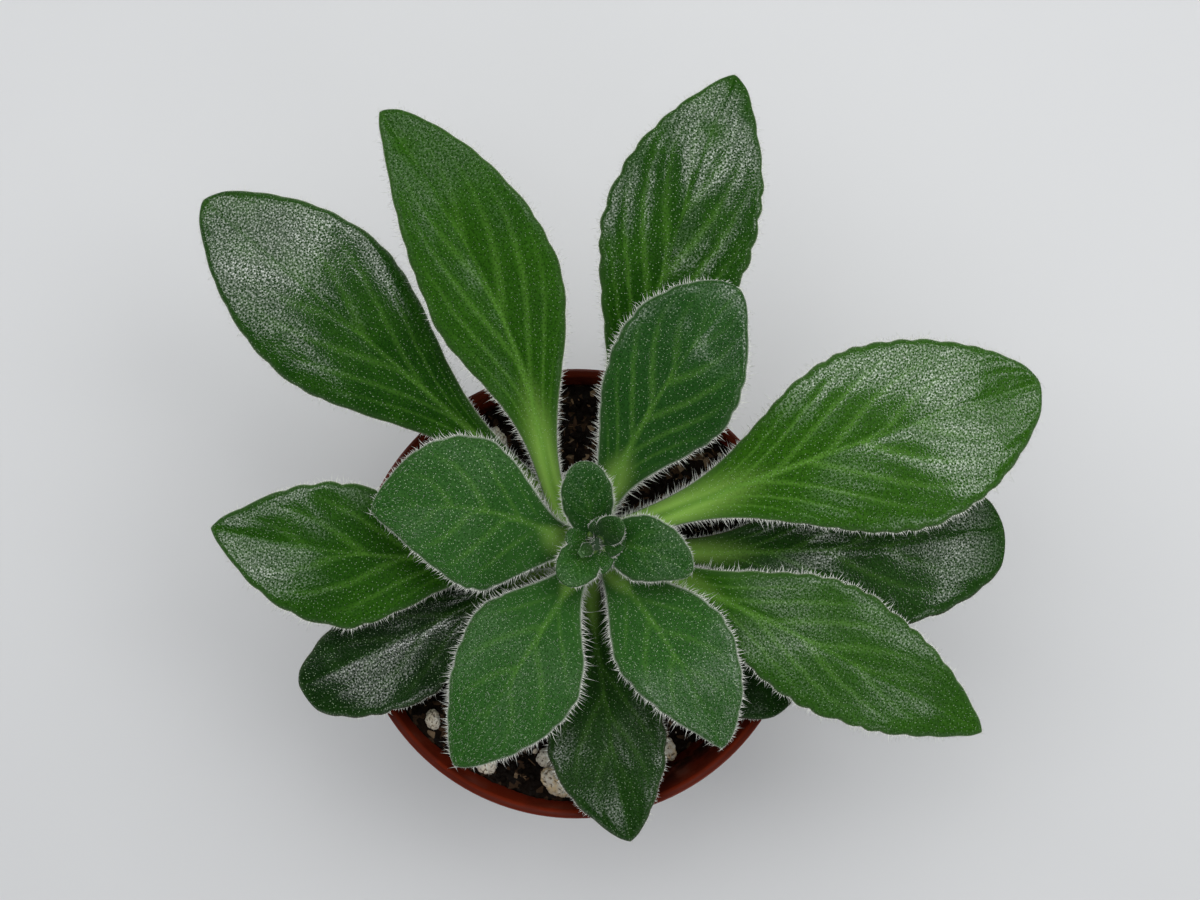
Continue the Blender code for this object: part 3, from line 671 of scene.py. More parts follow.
def bit_material(name, colour, spread):
    """Bark, fibre or crumbs: one colour that varies from bit to bit."""
    finish = Finish(name)
    bright = tuple(min(1.0, part) for part in shade(colour, 1 + spread))
    tint = finish.mix(finish.noise(0.002, 3.0), shade(colour, 1 - spread), bright)
    finish.set(Base_Color=tint, Roughness=finish.blotch(0.001, 2.0, 0.3, 0.7, 0.55, 0.9),
               Normal=finish.bump(finish.noise(0.0004, 3.0), 0.00008), Specular_IOR_Level=0.12)
    return finish.material


CREAM = (0.58, 0.42, 0.20)
GRAIN_DIRT = (0.33, 0.26, 0.17)
CRATER_COLOUR = (0.12, 0.085, 0.05)


def perlite_material(colour):
    """Chalky foamed grain: pale crust, darker in its pits."""
    finish = Finish("finish_perlite")
    deep, cream, _ = finish.attribute("grain_pits")
    tint = finish.mix(finish.times(cream, finish.blotch(0.0016, 3.0, 0.35, 0.65)), colour, CREAM)
    tint = finish.mix(finish.blotch(0.0009, 4.0, 0.52, 0.70, 0.0, 0.6), tint, GRAIN_DIRT)
    # Darker in the craters, the more so the deeper they are
    tint = finish.mix(finish.fade(deep, 0.10, 0.8, 0.0, 0.9), tint, CRATER_COLOUR)
    normal = finish.bump(finish.math("SUBTRACT", 1.0, finish.cells(0.00042)), 0.00012)
    normal = finish.bump(finish.noise(0.0002, 2.0), 0.00004, normal)
    finish.set(Base_Color=tint, Roughness=0.85, Normal=normal, Specular_IOR_Level=0.3)
    return finish.material


SCAR_COLOUR = (0.10, 0.055, 0.025)
SCAR_BOTTOM = 0.062           # heights between which the brown gives way to green
SCAR_TOP = 0.072
CROWN_TINT = 0.004            # the stem's last stretch, which takes the leaves' green


def stem_material(colour, crown_colour):
    """Scarred brown at the soil, stalk green above it and leaf green at the top."""
    finish = Finish("finish_stem")
    height = finish.height()
    tint = finish.mix(finish.noise(0.003, 3.0), colour, shade(colour, 0.6))
    tint = finish.mix(finish.fade(height, SCAR_BOTTOM, SCAR_TOP, 0.8, 0.0), tint, SCAR_COLOUR)
    tint = finish.mix(finish.fade(height, STEM_TOP - CROWN_TINT, STEM_TOP), tint, crown_colour)
    finish.set(Base_Color=tint, Roughness=0.6, Normal=finish.bump(finish.noise(0.0009, 3.0), 0.0002))
    return finish.material


def floor_material(colour):
    finish = Finish("finish_floor")
    tint = finish.mix(finish.noise(0.08, 2.0), colour, shade(colour, 0.97))
    finish.set(Base_Color=tint, Roughness=0.42, Specular_IOR_Level=0.4)
    return finish.material


# Leaf shape
def bell(t, side):
    """Share of a blade's half width at t, for one side of the leaf."""
    widest, base_fullness, tip_fullness = side[1:]
    base = np.sin(np.pi / 2 * np.clip(t / widest, 0, 1)) ** base_fullness
    tip = np.cos(np.pi / 2 * np.clip((t - widest) / (1 - widest), 0, 1))
    return np.where(t < widest, base, np.maximum(tip, 0) ** tip_fullness)


def near_tip(t):
    """Nothing up to the rounding of the tip, and 1 at its end."""
    return np.clip(1 - (1 - t) / TIP_ROUND, 0, 1)


def half_width(leaf, side, t):
    share = bell(t * (1 - TIP_CUT), side)
    width = leaf.stalk * (1 - t) + (side[0] - leaf.stalk * (1 - side[1])) * share
    turn = np.pi * leaf.scallops * np.clip(t - BLADE_START, 0, 1) / (1 - BLADE_START)
    uneven = sum(size * np.sin(t * waves + side[0] * shift) for size, waves, shift in SCALLOP_UNEVEN)
    depth = leaf.scallop * (np.abs(np.sin(turn + uneven)) - 0.5 + 0.5 * uneven)
    width += np.where(t > BLADE_START, depth * share, 0)
    tip = near_tip(t)
    return np.maximum(width * np.sqrt(1 - 0.98 * tip * tip), TIP_HALF_WIDTH * (1 - 0.9 * tip))


def width_at(leaf, t, across):
    """Half width of the side that each place is on."""
    return np.where(across > 0, half_width(leaf, leaf.left, t), half_width(leaf, leaf.right, t))


def seat_of(leaf):
    """How far from the stem's axis the visible stalk starts, a little inside the stem."""
    return min(leaf.seat, CROWN_SEAT) if leaf.little else leaf.seat - CLEARANCE - FOOT_SINK


def centre_line(leaf, t):
    """Level position of the leaf's centre line, from its foot to its tip."""
    foot = math.radians(leaf.foot - leaf.aim)
    seat = seat_of(leaf)
    ahead_at_foot, aside_at_foot = seat * math.cos(foot), seat * math.sin(foot)
    ahead = ahead_at_foot + (leaf.reach - ahead_at_foot) * t
    hook = math.tan(foot) * (leaf.reach - ahead_at_foot) + aside_at_foot - 4 * leaf.bow
    aside = aside_at_foot * (1 - t) + 4 * leaf.bow * t * (1 - t) + hook * t * (1 - t) ** STALK_TURN
    forward, leftward = on_circle(1.0, leaf.aim), on_circle(1.0, leaf.aim + 90)
    return np.array(STEM_CENTRE) + ahead[..., None] * forward + aside[..., None] * leftward


def centre_height(leaf, t):
    foot, middle, tip = leaf.rise
    if leaf.little:
        foot -= FOOT_SINK
    return foot + (4 * middle - 3 * foot - tip) * t + (2 * foot + 2 * tip - 4 * middle) * t * t


def vein_count(leaf, t, across):
    """Grows by one from each side vein to the next. The two sides' veins leave the midrib in turn."""
    shift = np.where(across > 0, 0.0, VEIN_SHIFT)
    return (t - leaf.lean * np.abs(across) ** VEIN_BEND) / leaf.gap + shift


def past_stalk(t):
    return smooth_step((t - RELIEF_START) / RELIEF_RUN)


def relief(leaf, t, across, width):
    """The midrib's groove and the bulges between the side veins."""
    aside = np.abs(across) * width
    groove = GROOVE_DEPTH * (1 - 0.7 * t) * np.exp(-(aside / GROOVE_WIDTH) ** 2)
    if leaf.little:
        groove = groove * 0.4
    on_blade = past_stalk(t) * smooth_step((1.02 - t) / 0.15)
    off_rib = smooth_step(np.abs(across) / 0.25) * (1 - 0.8 * np.abs(across) ** 5)
    bulge = np.abs(np.sin(np.pi * vein_count(leaf, t, across))) - 0.6
    start = leaf.aim
    uneven = np.sin(11 * t + 2.6 * across + start) + np.sin(17 * t - 4.1 * across + 2 * start)
    swell = SWELL * 0.5 * uneven * on_blade * (0.2 if leaf.little else 1)
    return leaf.puff * (1 + 0.35 * uneven) * bulge * on_blade * off_rib + swell - groove


def upper_side(leaf, t, across):
    """Points of the leaf's upper side."""
    is_left = across > 0
    width = width_at(leaf, t, across)
    share = np.where(is_left, bell(t, leaf.left), bell(t, leaf.right))
    aside = across * width
    heading = unit(centre_line(leaf, np.minimum(t + HEADING_STEP, 1.0))
                   - centre_line(leaf, np.maximum(t - HEADING_STEP, 0.0)))
    leftward = np.stack([-heading[..., 1], heading[..., 0]], -1)
    level = centre_line(leaf, t) + leftward * aside[..., None]
    # The foot lies round the stem
    seat = seat_of(leaf)
    at_foot = on_circle(seat, leaf.foot + np.degrees(aside / seat), STEM_CENTRE)
    near_foot = smooth_step(1 - t / FOOT_SHARE)[..., None]
    level = level * (1 - near_foot) + at_foot * near_foot
    wave_start = np.where(is_left, LEFT_WAVE_START, RIGHT_WAVE_START)
    ruffle = leaf.wave * np.sin(2 * np.pi * MARGIN_WAVES * t + wave_start)
    lift = leaf.fold * np.abs(aside) - leaf.droop * aside * aside + ruffle * across * across * share
    rolled = np.clip(1 - (width - np.abs(aside)) / ROLL_WIDTH, 0, 1) ** 2 * past_stalk(t)
    lift -= ROLL_DEPTH * rolled * (0.3 if leaf.little else 1)
    thin = BLADE_THICKNESS - blade_thickness(leaf, t, across)
    height = centre_height(leaf, t) + lift + relief(leaf, t, across, width) - thin / 2
    return np.concatenate([level, height[..., None]], -1)


def blade_thickness(leaf, t, across):
    round_off = np.sqrt(np.clip((1 - np.abs(across) ** 9) * (1 - near_tip(t) ** 2), 0, 1))
    return EDGE_THICKNESS + (BLADE_THICKNESS - EDGE_THICKNESS) * round_off


def thickness(leaf, t, across):
    """Stout along the stalk and round below, then a rib that fades out under a thin blade."""
    stalk = np.maximum(0.0, 1 - t / STALK_END) ** STALK_FADE
    blade = blade_thickness(leaf, t, across)
    rib_rise = (min(RIB_THICKNESS, leaf.depth) - BLADE_THICKNESS) * (1 - t)
    rib = np.maximum(rib_rise, 0) * np.exp(-(across * width_at(leaf, t, across) / RIB_WIDTH) ** 2)
    veins = 0.3 * leaf.puff * np.abs(np.cos(np.pi * vein_count(leaf, t, across))) ** 6
    round_stalk = leaf.depth * np.sqrt(np.clip(1 - 0.98 * across * across, 0, 1))
    return blade + rib + veins + (round_stalk - blade) * stalk


def facing(leaf, t, across):
    """Directions square to the upper side, along the leaf and sideways to the left."""
    small = FACING_STEP
    ahead = unit(upper_side(leaf, np.minimum(t + small, 1), across)
                 - upper_side(leaf, np.maximum(t - small, 0), across))
    edge = np.clip(across, -1 + small, 1 - small)
    beside = unit(upper_side(leaf, t, edge + small) - upper_side(leaf, t, edge - small))
    return unit(np.cross(ahead, beside)), ahead, beside


def make_leaf(leaf, colours, node=None):
    """A grid that is bent to the leaf's upper side, with its underside below it."""
    rows = max(LEAST_ROWS, round(leaf.reach / ROW_STEP))
    columns = 2 * max(LEAST_COLUMNS, round(leaf.widest / COLUMN_STEP))
    deselect_all()
    bpy.ops.mesh.primitive_grid_add(x_subdivisions=columns, y_subdivisions=rows, size=2)
    piece = named(bpy.context.object, leaf.name + "_blade")
    shell = piece.modifiers.new("underside", "SOLIDIFY")
    shell.thickness = 1.0
    shell.offset = -1.0
    apply_modifier(piece, shell)
    grid = mesh_points(piece)
    is_under = grid[:, 2] < -0.5
    # The grid's left is -X when its rows run towards +Y, and it gets finer towards the margins and the tip
    from_middle = grid[:, 0]
    crowded = np.sin(np.pi / 2 * np.clip(from_middle, -1, 1))
    across = -(EVEN_SHARE * from_middle + CROWDED_SHARE * crowded)
    across[np.abs(from_middle) < NEARLY_NONE] = 0.0
    t = 1 - np.clip(0.5 - grid[:, 1] / 2, 0, 1) ** TIP_CROWDING
    points = upper_side(leaf, t, across)
    up, _, _ = facing(leaf, t, across)
    points[is_under] -= (up * thickness(leaf, t, across)[:, None])[is_under]
    set_mesh_points(piece, points)
    width = width_at(leaf, t, across)
    note_points(piece, "leaf_veins", vein_count(leaf, t, across), across * width, across)
    margin = np.minimum((1 - np.abs(across)) * width, (1 - t) * leaf.reach)
    note_points(piece, "leaf_along", t, margin, is_under.astype(float))
    in_edit_mode(piece)
    close_outwards()
    piece.data.shade_smooth()
    finish_piece(piece, leaf_material(leaf, colours), node)


# Hairs
HAIR_KNEE = 0.45              # where along a hair its bend starts to show
KNEE_WIDTH = 0.75
HAIR_SEED = 500
RIM_SHARE = 0.38              # length of the dense short hairs on a margin, as a share of its fringe
RIM_SPACING = 0.6             # distance between them, next to that between the long ones
STALK_HAIRS = 900             # on the stalk of a leaf that reaches this far
STALK_HAIRS_REACH = 0.08
HAIR_GIRTHS = (0.75, 1.2)     # thickness of single hairs, next to the one that is set
DOWN_GIRTH = 0.30             # the same for the short hairs of the blade
HAIR_SAG = -0.06
LITTLE_SPACING = 0.8          # the crown's small leaves, next to the others
LITTLE_GIRTH = 0.75
LITTLE_DOWN = 0.6
# Short hairs of the blade: density next to the one that is set, length and forward slant
YOUNG_DOWN = (4.0, 0.0006, 0.6)
GROWN_DOWN = (0.6, 0.0004, 0.3)
UNDER_DOWN = (0.5, 0.0008, 0.3)     # its density is next to that of the upper side


def hair_pattern(bent):
    """One hair as points and triangles: a unit long, standing on +Z, its root a unit in radius."""
    deselect_all()
    bpy.ops.mesh.primitive_cone_add(vertices=3, radius1=1, radius2=0, depth=1, location=(0, 0, 0.5))
    pattern = bpy.context.object
    in_edit_mode(pattern)
    if bent:
        bpy.ops.mesh.bisect(plane_co=(0, 0, HAIR_KNEE), plane_no=(0, 0, 1))
        wider = KNEE_WIDTH / (1 - HAIR_KNEE)
        bpy.ops.transform.resize(value=(wider, wider, 1), center_override=(0, 0, HAIR_KNEE))
    bpy.ops.mesh.select_all(action="SELECT")
    bpy.ops.mesh.quads_convert_to_tris()
    in_object_mode()
    points, faces = taken_apart(pattern)
    return points + np.array([0, 0, 0.5]), faces


def planted(name, pattern, roots, directions, lengths, radii, bends):
    """Copies of one hair as one piece. A bend is the sideways path of its end, as a share of its length."""
    shape, faces = pattern
    directions = unit(directions)
    helper = np.where(np.abs(directions[:, 2:3]) < 0.8, [[0.0, 0.0, 1.0]], [[1.0, 0.0, 0.0]])
    first = unit(np.cross(directions, helper))
    second = np.cross(directions, first)
    x, y, z = shape[:, 0], shape[:, 1], shape[:, 2]
    points = (roots[:, None, :]
              - first[:, None, :] * (x[None, :] * radii[:, None])[..., None]
              + second[:, None, :] * (y[None, :] * radii[:, None])[..., None]
              + directions[:, None, :] * (z[None, :] * lengths[:, None])[..., None]
              + bends[:, None, :] * (z[None, :] ** 2 * lengths[:, None])[..., None])
    piece = made_of_copies(name, points, faces)
    piece.data.shade_smooth()
    return piece


def spread(dice, count, mean=0.8, deviation=0.25, least=0.25, most=1.3):
    """Lengths of single hairs, next to the one that is set."""
    return np.clip(dice.normal(mean, deviation, count), least, most)


def along_margin(leaf, side, spacing):
    """Values of t that lie evenly along one margin."""
    fine = np.linspace(0.0, 1.0, 900)
    edge = upper_side(leaf, fine, np.full(fine.shape, float(side)))
    run = np.concatenate([[0], np.cumsum(np.linalg.norm(np.diff(edge, axis=0), axis=-1))])
    return np.interp(np.arange(spacing / 2, run[-1], spacing), run, fine)


def fringe_roots(leaf, dice, spacing, share):
    """Hairs that stand out from both margins, all round the tip, that share of the fringe in length."""
    roots, directions, lengths = [], [], []
    for side in (-1, 1):
        t = along_margin(leaf, side, spacing)
        t = np.clip(t + dice.normal(0, 0.3, t.shape) * spacing / leaf.reach, 0.0, 1.0)
        edge = np.full(t.shape, float(side))
        up, ahead, beside = facing(leaf, t, edge * 0.97)
        margin_ahead = unit(upper_side(leaf, np.minimum(t + HEADING_STEP, 1), edge)
                            - upper_side(leaf, np.maximum(t - HEADING_STEP, 0), edge))
        outward = np.cross(margin_ahead, up) * side * -1
        outward = np.where((np.sum(outward * beside, -1) * side < 0)[:, None], -outward, outward)
        tip = smooth_step((t - 0.975) / 0.025)[:, None]
        outward = outward * (1 - tip) + ahead * tip
        pitch = dice.normal(-0.05, 0.35, t.shape)[:, None]
        yaw = dice.normal(0.18, 0.22, t.shape)[:, None]
        directions.append(outward + up * pitch + margin_ahead * yaw)
        roots.append(upper_side(leaf, t, edge * 0.995) - up * EDGE_THICKNESS / 2)
        stalk = 1 + 0.15 * smooth_step((0.4 - t) / 0.2)
        lengths.append(leaf.fringe * share * stalk * spread(dice, t.shape, most=1.4))
    return np.concatenate(roots), np.concatenate(directions), np.concatenate(lengths)


def stalk_roots(leaf, dice, count):
    """Hairs round the lower side of the stalk."""
    t = dice.uniform(0.0, 0.42, count)
    across = dice.uniform(-1, 1, count)
    up, _, beside = facing(leaf, t, across)
    slope = across[:, None] * 1.3
    downward = -up * np.sqrt(np.clip(1 - 0.8 * across * across, 0.05, 1))[:, None] + beside * slope
    roots = upper_side(leaf, t, across) - up * thickness(leaf, t, across)[:, None] * 0.97
    directions = downward + dice.normal(0, 0.25, (count, 3))
    return roots, directions, leaf.fringe * 0.9 * spread(dice, count)


def blade_roots(leaf, dice, density, length, slant, under=False):
    """Short hairs all over one side of the blade."""
    area = 0.5 * (leaf.left[0] + leaf.right[0]) * 1.25 * leaf.reach
    count = int(area * density)
    t = dice.uniform(0.05, 0.99, count)
    across = dice.uniform(-0.98, 0.98, count)
    kept = dice.uniform(0, 1, count) < width_at(leaf, t, across) / leaf.widest
    t, across = t[kept], across[kept]
    up, ahead, _ = facing(leaf, t, across)
    roots = upper_side(leaf, t, across)
    if under:
        roots = roots - up * thickness(leaf, t, across)[:, None]
        up = -up
    directions = up + ahead * slant + dice.normal(0, 0.35, roots.shape)
    return roots, directions, length * spread(dice, len(t), 0.9, 0.3, 0.3, 1.6)


def make_hairs(leaf, index, patterns, hairs, material):
    """The leaf's fringe, the hairs of its stalk and those on both sides of its blade."""
    bent, straight = patterns
    dice = np.random.default_rng(HAIR_SEED + index)
    spacing = hairs.spacing * (LITTLE_SPACING if leaf.little else 1.0)
    groups = [fringe_roots(leaf, dice, spacing, 1.0),
              fringe_roots(leaf, dice, spacing * RIM_SPACING, RIM_SHARE)]
    if not leaf.little:
        groups.append(stalk_roots(leaf, dice, round(STALK_HAIRS * leaf.reach / STALK_HAIRS_REACH)))
    roots, directions, lengths = (np.concatenate(part) for part in zip(*groups))
    bends = dice.normal(0, 0.12, roots.shape) + np.array([0, 0, HAIR_SAG])
    radii = hairs.radius * (LITTLE_GIRTH if leaf.little else 1.0) * dice.uniform(*HAIR_GIRTHS, len(roots))
    fringe = planted(leaf.name + "_fringe", bent, roots, directions, lengths, radii, bends)
    finish_piece(fringe, material)
    share, length, slant = YOUNG_DOWN if leaf.finish == "leaf_young" else GROWN_DOWN
    density = hairs.density * 1e6 * share * leaf.down
    below_share, below_length, below_slant = UNDER_DOWN
    groups = [blade_roots(leaf, dice, density, length, slant),
              blade_roots(leaf, dice, density * below_share, below_length, below_slant, under=True)]
    roots, directions, lengths = (np.concatenate(part) for part in zip(*groups))
    lengths = lengths * (LITTLE_DOWN if leaf.little else 1.0)
    down = planted(leaf.name + "_down", straight, roots, directions, lengths,
                   np.full(len(roots), hairs.radius * DOWN_GIRTH), np.zeros(roots.shape))
    finish_piece(down, material)


# Pot
def wall_inside(height):
    share = height / LIP_CENTRE_HEIGHT
    return BASE_RADIUS - WALL + (WALL_TOP_INSIDE - BASE_RADIUS + WALL) * share


def pot_rings():
    """Radius and height, from the boss under the floor round to the floor inside."""
    band_bottom = LIP_CENTRE_HEIGHT - BAND_HEIGHT
    rings = [
        (BOSS_RADIUS * 0.4, 0.0),
        (BOSS_RADIUS, 0.0),
        (BOSS_RADIUS + FOOT_RISE, FOOT_RISE),
        (BASE_RADIUS - FOOT_WIDTH - FOOT_RISE, FOOT_RISE),
        (BASE_RADIUS - FOOT_WIDTH, 0.0),
        (BASE_RADIUS - EDGE_SOFTNESS, 0.0),
        (BASE_RADIUS - EDGE_SOFTNESS * 0.3, EDGE_SOFTNESS * 0.3),
        (BASE_RADIUS, EDGE_SOFTNESS),
    ]
    for step in range(1, WALL_STEPS + 1):
        height = EDGE_SOFTNESS + (band_bottom - EDGE_SOFTNESS) * step / WALL_STEPS
        rings.append((wall_inside(height) + WALL, height))
    rings.append((wall_inside(band_bottom) + WALL + BAND_STEP, band_bottom + BAND_STEP))
    top = LIP_CENTRE_HEIGHT - LIP_DROP
    rings.append((wall_inside(top) + WALL + BAND_STEP, top))
    for turn in range(*LIP_TURN):
        around = math.radians(turn)
        outward = LIP_CREST_SHIFT * max(0.0, math.sin(around)) ** 2
        rings.append((LIP_CENTRE_RADIUS + LIP_RADIUS * math.cos(around) + outward,
                      LIP_CENTRE_HEIGHT + LIP_RADIUS * math.sin(around)))
    for step in range(1, INSIDE_STEPS + 1):
        height = LIP_CENTRE_HEIGHT + (FLOOR_TOP - LIP_CENTRE_HEIGHT) * step / INSIDE_STEPS
        rings.append((wall_inside(height), height))
    rings.append((BASE_RADIUS * 0.4, FLOOR_TOP))
    return rings


def drawn_rings(name, rings, sides, is_open=False):
    """A round body, drawn out ring by ring from a disc. An open one ends in a rim in place of a lid."""
    radius, height = rings[0]
    deselect_all()
    bpy.ops.mesh.primitive_circle_add(vertices=sides, radius=radius, fill_type="NGON",
                                      location=(0, 0, height))
    piece = named(bpy.context.object, name)
    bpy.ops.object.transform_apply(location=True, rotation=False, scale=False)
    in_edit_mode(piece)
    for wider, higher in rings[1:]:
        bpy.ops.mesh.extrude_region_move(TRANSFORM_OT_translate={"value": (0, 0, higher - height)})
        bpy.ops.transform.resize(value=(wider / radius, wider / radius, 1), center_override=(0, 0, higher))
        radius, height = wider, higher
    if is_open:
        bpy.ops.mesh.delete(type="ONLY_FACE")
    close_outwards(inside=is_open)
    return piece


def make_pot(settings):
    pot = drawn_rings("pot_shell", pot_rings(), POT_SIDES)
    for index in range(DRAIN_COUNT):
        x, y = on_circle(DRAIN_RING_RADIUS, (index + 0.5) * 360 / DRAIN_COUNT)
        deselect_all()
        bpy.ops.mesh.primitive_cylinder_add(vertices=DRAIN_SIDES, radius=DRAIN_RADIUS, depth=3 * FLOOR_TOP,
                                            location=(x, y, FLOOR_TOP / 2))
        drill = bpy.context.object
        hole = pot.modifiers.new("drain", "BOOLEAN")
        hole.operation = "DIFFERENCE"
        hole.object = drill
        apply_modifier(pot, hole)
        bpy.data.objects.remove(drill)
    points = mesh_points(pot)
    out = np.hypot(points[:, 0], points[:, 1])
    # Points on the wall inside: the finish paints them lighter, as painted light, and stains them
    inner = (out < wall_inside(points[:, 2]) + WALL * 0.4) & (points[:, 2] > FLOOR_TOP - NEARLY_NONE)
    # The lip's crest, which the finish paints lighter as a painted highlight and gives a coat
    edge = smooth_step((out - (LIP_CENTRE_RADIUS + LIP_CREST_SHIFT)) / (LIP_RADIUS * 0.4))
    edge *= smooth_step((points[:, 2] - LIP_CENTRE_HEIGHT + LIP_RADIUS) / LIP_RADIUS)
    note_points(pot, "pot_side", inner.astype(float), edge, edge)
    deselect_all()
    pot.select_set(True)
    bpy.context.view_layer.objects.active = pot
    bpy.ops.object.shade_smooth_by_angle(angle=math.radians(POT_SMOOTH_ANGLE))
    finish_piece(pot, pot_material(tuple(settings.colour)), "pot")


# Soil
def soil_height(x, y):
    """Height of the soil's surface: a bumpy dish, sunk in two places against the wall."""
    out = math.hypot(x, y) / RIM_RADIUS
    azimuth = math.degrees(math.atan2(y, x))
    height = SOIL_LEVEL + SOIL_DISH * out ** 2
    for centre, depth, half_angle in SOIL_DIPS:
        away = abs((azimuth - centre + 180) % 360 - 180)
        if away < half_angle:
            height -= depth * math.cos(math.pi / 2 * away / half_angle) ** 2 * out ** 3
    return height + noise.noise(Vector((x, y, 0.0)) / SOIL_BUMP_SIZE) * SOIL_BUMP


def rough_soil(x, y):
    """The soil's height with its clods and crumbs."""
    place = Vector((x, y, 0.0))
    clods = abs(noise.noise(place / CLOD_SIZE)) * CLOD_RISE
    crumbs = noise.noise(place / CRUMB_SIZE + Vector((7, 3, 1))) * CRUMB_RISE
    fine = noise.noise(place / (CRUMB_SIZE * 0.4)) * CRUMB_RISE * 0.5
    return soil_height(x, y) + clods + crumbs + fine - CLOD_RISE * 0.3


def make_soil(settings):
    """A grid that is pressed round, roughened, and drawn down to the pot's floor."""
    deselect_all()
    bpy.ops.mesh.primitive_grid_add(x_subdivisions=SOIL_CELLS, y_subdivisions=SOIL_CELLS, size=2)
    soil = named(bpy.context.object, "soil_bed")
    grid = mesh_points(soil)
    x, y = grid[:, 0].copy(), grid[:, 1].copy()
    grid[:, 0] = x * np.sqrt(1 - y * y / 2)
    grid[:, 1] = y * np.sqrt(1 - x * x / 2)
    mean_radius = wall_inside(SOIL_LEVEL)
    for point in grid:
        out = math.hypot(point[0], point[1])
        radius = wall_inside(soil_height(point[0] * mean_radius, point[1] * mean_radius)) - SOIL_EDGE_GAP
        point[2] = rough_soil(point[0] * radius, point[1] * radius)
        if out > SOIL_EDGE_SHARE:
            radius = wall_inside(point[2]) - SOIL_EDGE_GAP
        point[0] *= radius
        point[1] *= radius
    set_mesh_points(soil, grid)
    bottom = FLOOR_TOP + CLEARANCE
    in_edit_mode(soil)
    bpy.ops.mesh.region_to_loop()
    bpy.ops.mesh.extrude_edges_move(TRANSFORM_OT_translate={"value": (0, 0, bottom - SOIL_LEVEL)})
    in_object_mode()
    points = mesh_points(soil)
    edge = len(grid)
    out = np.hypot(points[edge:, 0], points[edge:, 1])
    points[edge:, :2] *= ((wall_inside(bottom) - CLEARANCE) / out)[:, None]
    points[edge:, 2] = bottom
    set_mesh_points(soil, points)
    # The drawn edge is still selected, and gets the underside
    bpy.ops.object.mode_set(mode="EDIT")
    bpy.ops.mesh.edge_face_add()
    close_outwards()
    soil.data.shade_smooth()
    finish_piece(soil, soil_material(tuple(settings.colour)), "soil")


# Loose bits on the soil
STREW_SHARE = 0.985           # share of the soil's radius that they are strewn over
BIT_SINK = 0.25               # how deep a bit sits, as a share of its half height
BIT_HALF_HEIGHT = 0.4
BIT_GAP = 0.0006              # free space round a grain of perlite
STEM_GAP = 0.001
CLOD_SHADE = 1.3
# Name, material and slot, then number, least and greatest size, block, tilt, colour and how far it varies.
# Clods have the peat's own colour, a little brighter.
SOIL_BITS = [
    ("soil_clods", "finish_clods", "soil", 1500, (0.0006, 0.0021), (1.0, 0.8, 0.7), 0.5, None, 0.5),
    ("bark_dark", "finish_bark_dark", "soil", 520, (0.0012, 0.0038), (1.0, 0.30, 0.16), 0.35,
     (0.050, 0.026, 0.013), 0.7),
    ("bark_pale", "finish_bark_pale", "soil", 190, (0.0008, 0.0028), (1.0, 0.30, 0.16), 0.4,
     (0.15, 0.09, 0.048), 0.6),
    ("perlite_crumbs", "finish_crumbs", "perlite", 90, (0.0004, 0.0014), (1.0, 0.9, 0.8), 0.6,
     (0.55, 0.48, 0.38), 0.2),
]
BIT_SEED = 77
FIBRE_COUNT = 380
FIBRE_LENGTHS = (0.0015, 0.0055)
FIBRE_RADII = (0.00005, 0.00014)
FIBRE_LIFT = 0.0001
FIBRE_COLOUR = (0.13, 0.080, 0.045)


def bit_pattern(stretch):
    """A rough little block, a unit across, as points and triangles."""
    deselect_all()
    bpy.ops.mesh.primitive_ico_sphere_add(subdivisions=1, radius=0.5)
    block = bpy.context.object
    in_edit_mode(block)
    bpy.ops.transform.resize(value=stretch, center_override=(0, 0, 0))
    in_object_mode()
    points, faces = taken_apart(block)
    for point in points:
        point *= 1 + 0.5 * noise.noise(Vector(point * 3.1) + Vector(stretch) * 5)
    return points, faces


def scattered(name, pattern, count, sizes, tilt, dice, taken):
    """A piece made of turned copies of one block, strewn over the soil outside the taken places."""
    shape, faces = pattern
    places = []
    while len(places) < count:
        radius = wall_inside(SOIL_LEVEL) * math.sqrt(dice.uniform(0, 1)) * STREW_SHARE
        x, y = on_circle(radius, dice.uniform(0, 360))
        if not any(math.hypot(x - spot[0], y - spot[1]) < away for spot, away in taken):
            places.append((x, y))
    size = dice.uniform(*sizes, count)
    turn = dice.uniform(0, 2 * np.pi, count)
    pitch = dice.normal(0, tilt, count)
    points = np.empty((count, len(shape), 3))
    for index, (x, y) in enumerate(places):
        local = shape * size[index]
        cos_pitch, sin_pitch = math.cos(pitch[index]), math.sin(pitch[index])
        tipped = np.stack([local[:, 0] * cos_pitch - local[:, 2] * sin_pitch, local[:, 1],
                           local[:, 0] * sin_pitch + local[:, 2] * cos_pitch], -1)
        cos_turn, sin_turn = math.cos(turn[index]), math.sin(turn[index])
        points[index, :, 0] = x + tipped[:, 0] * cos_turn - tipped[:, 1] * sin_turn
        points[index, :, 1] = y + tipped[:, 0] * sin_turn + tipped[:, 1] * cos_turn
        sunk = BIT_SINK * size[index] * BIT_HALF_HEIGHT
        points[index, :, 2] = rough_soil(x, y) + tipped[:, 2] - tipped[:, 2].min() - sunk
    return made_of_copies(name, points, faces)


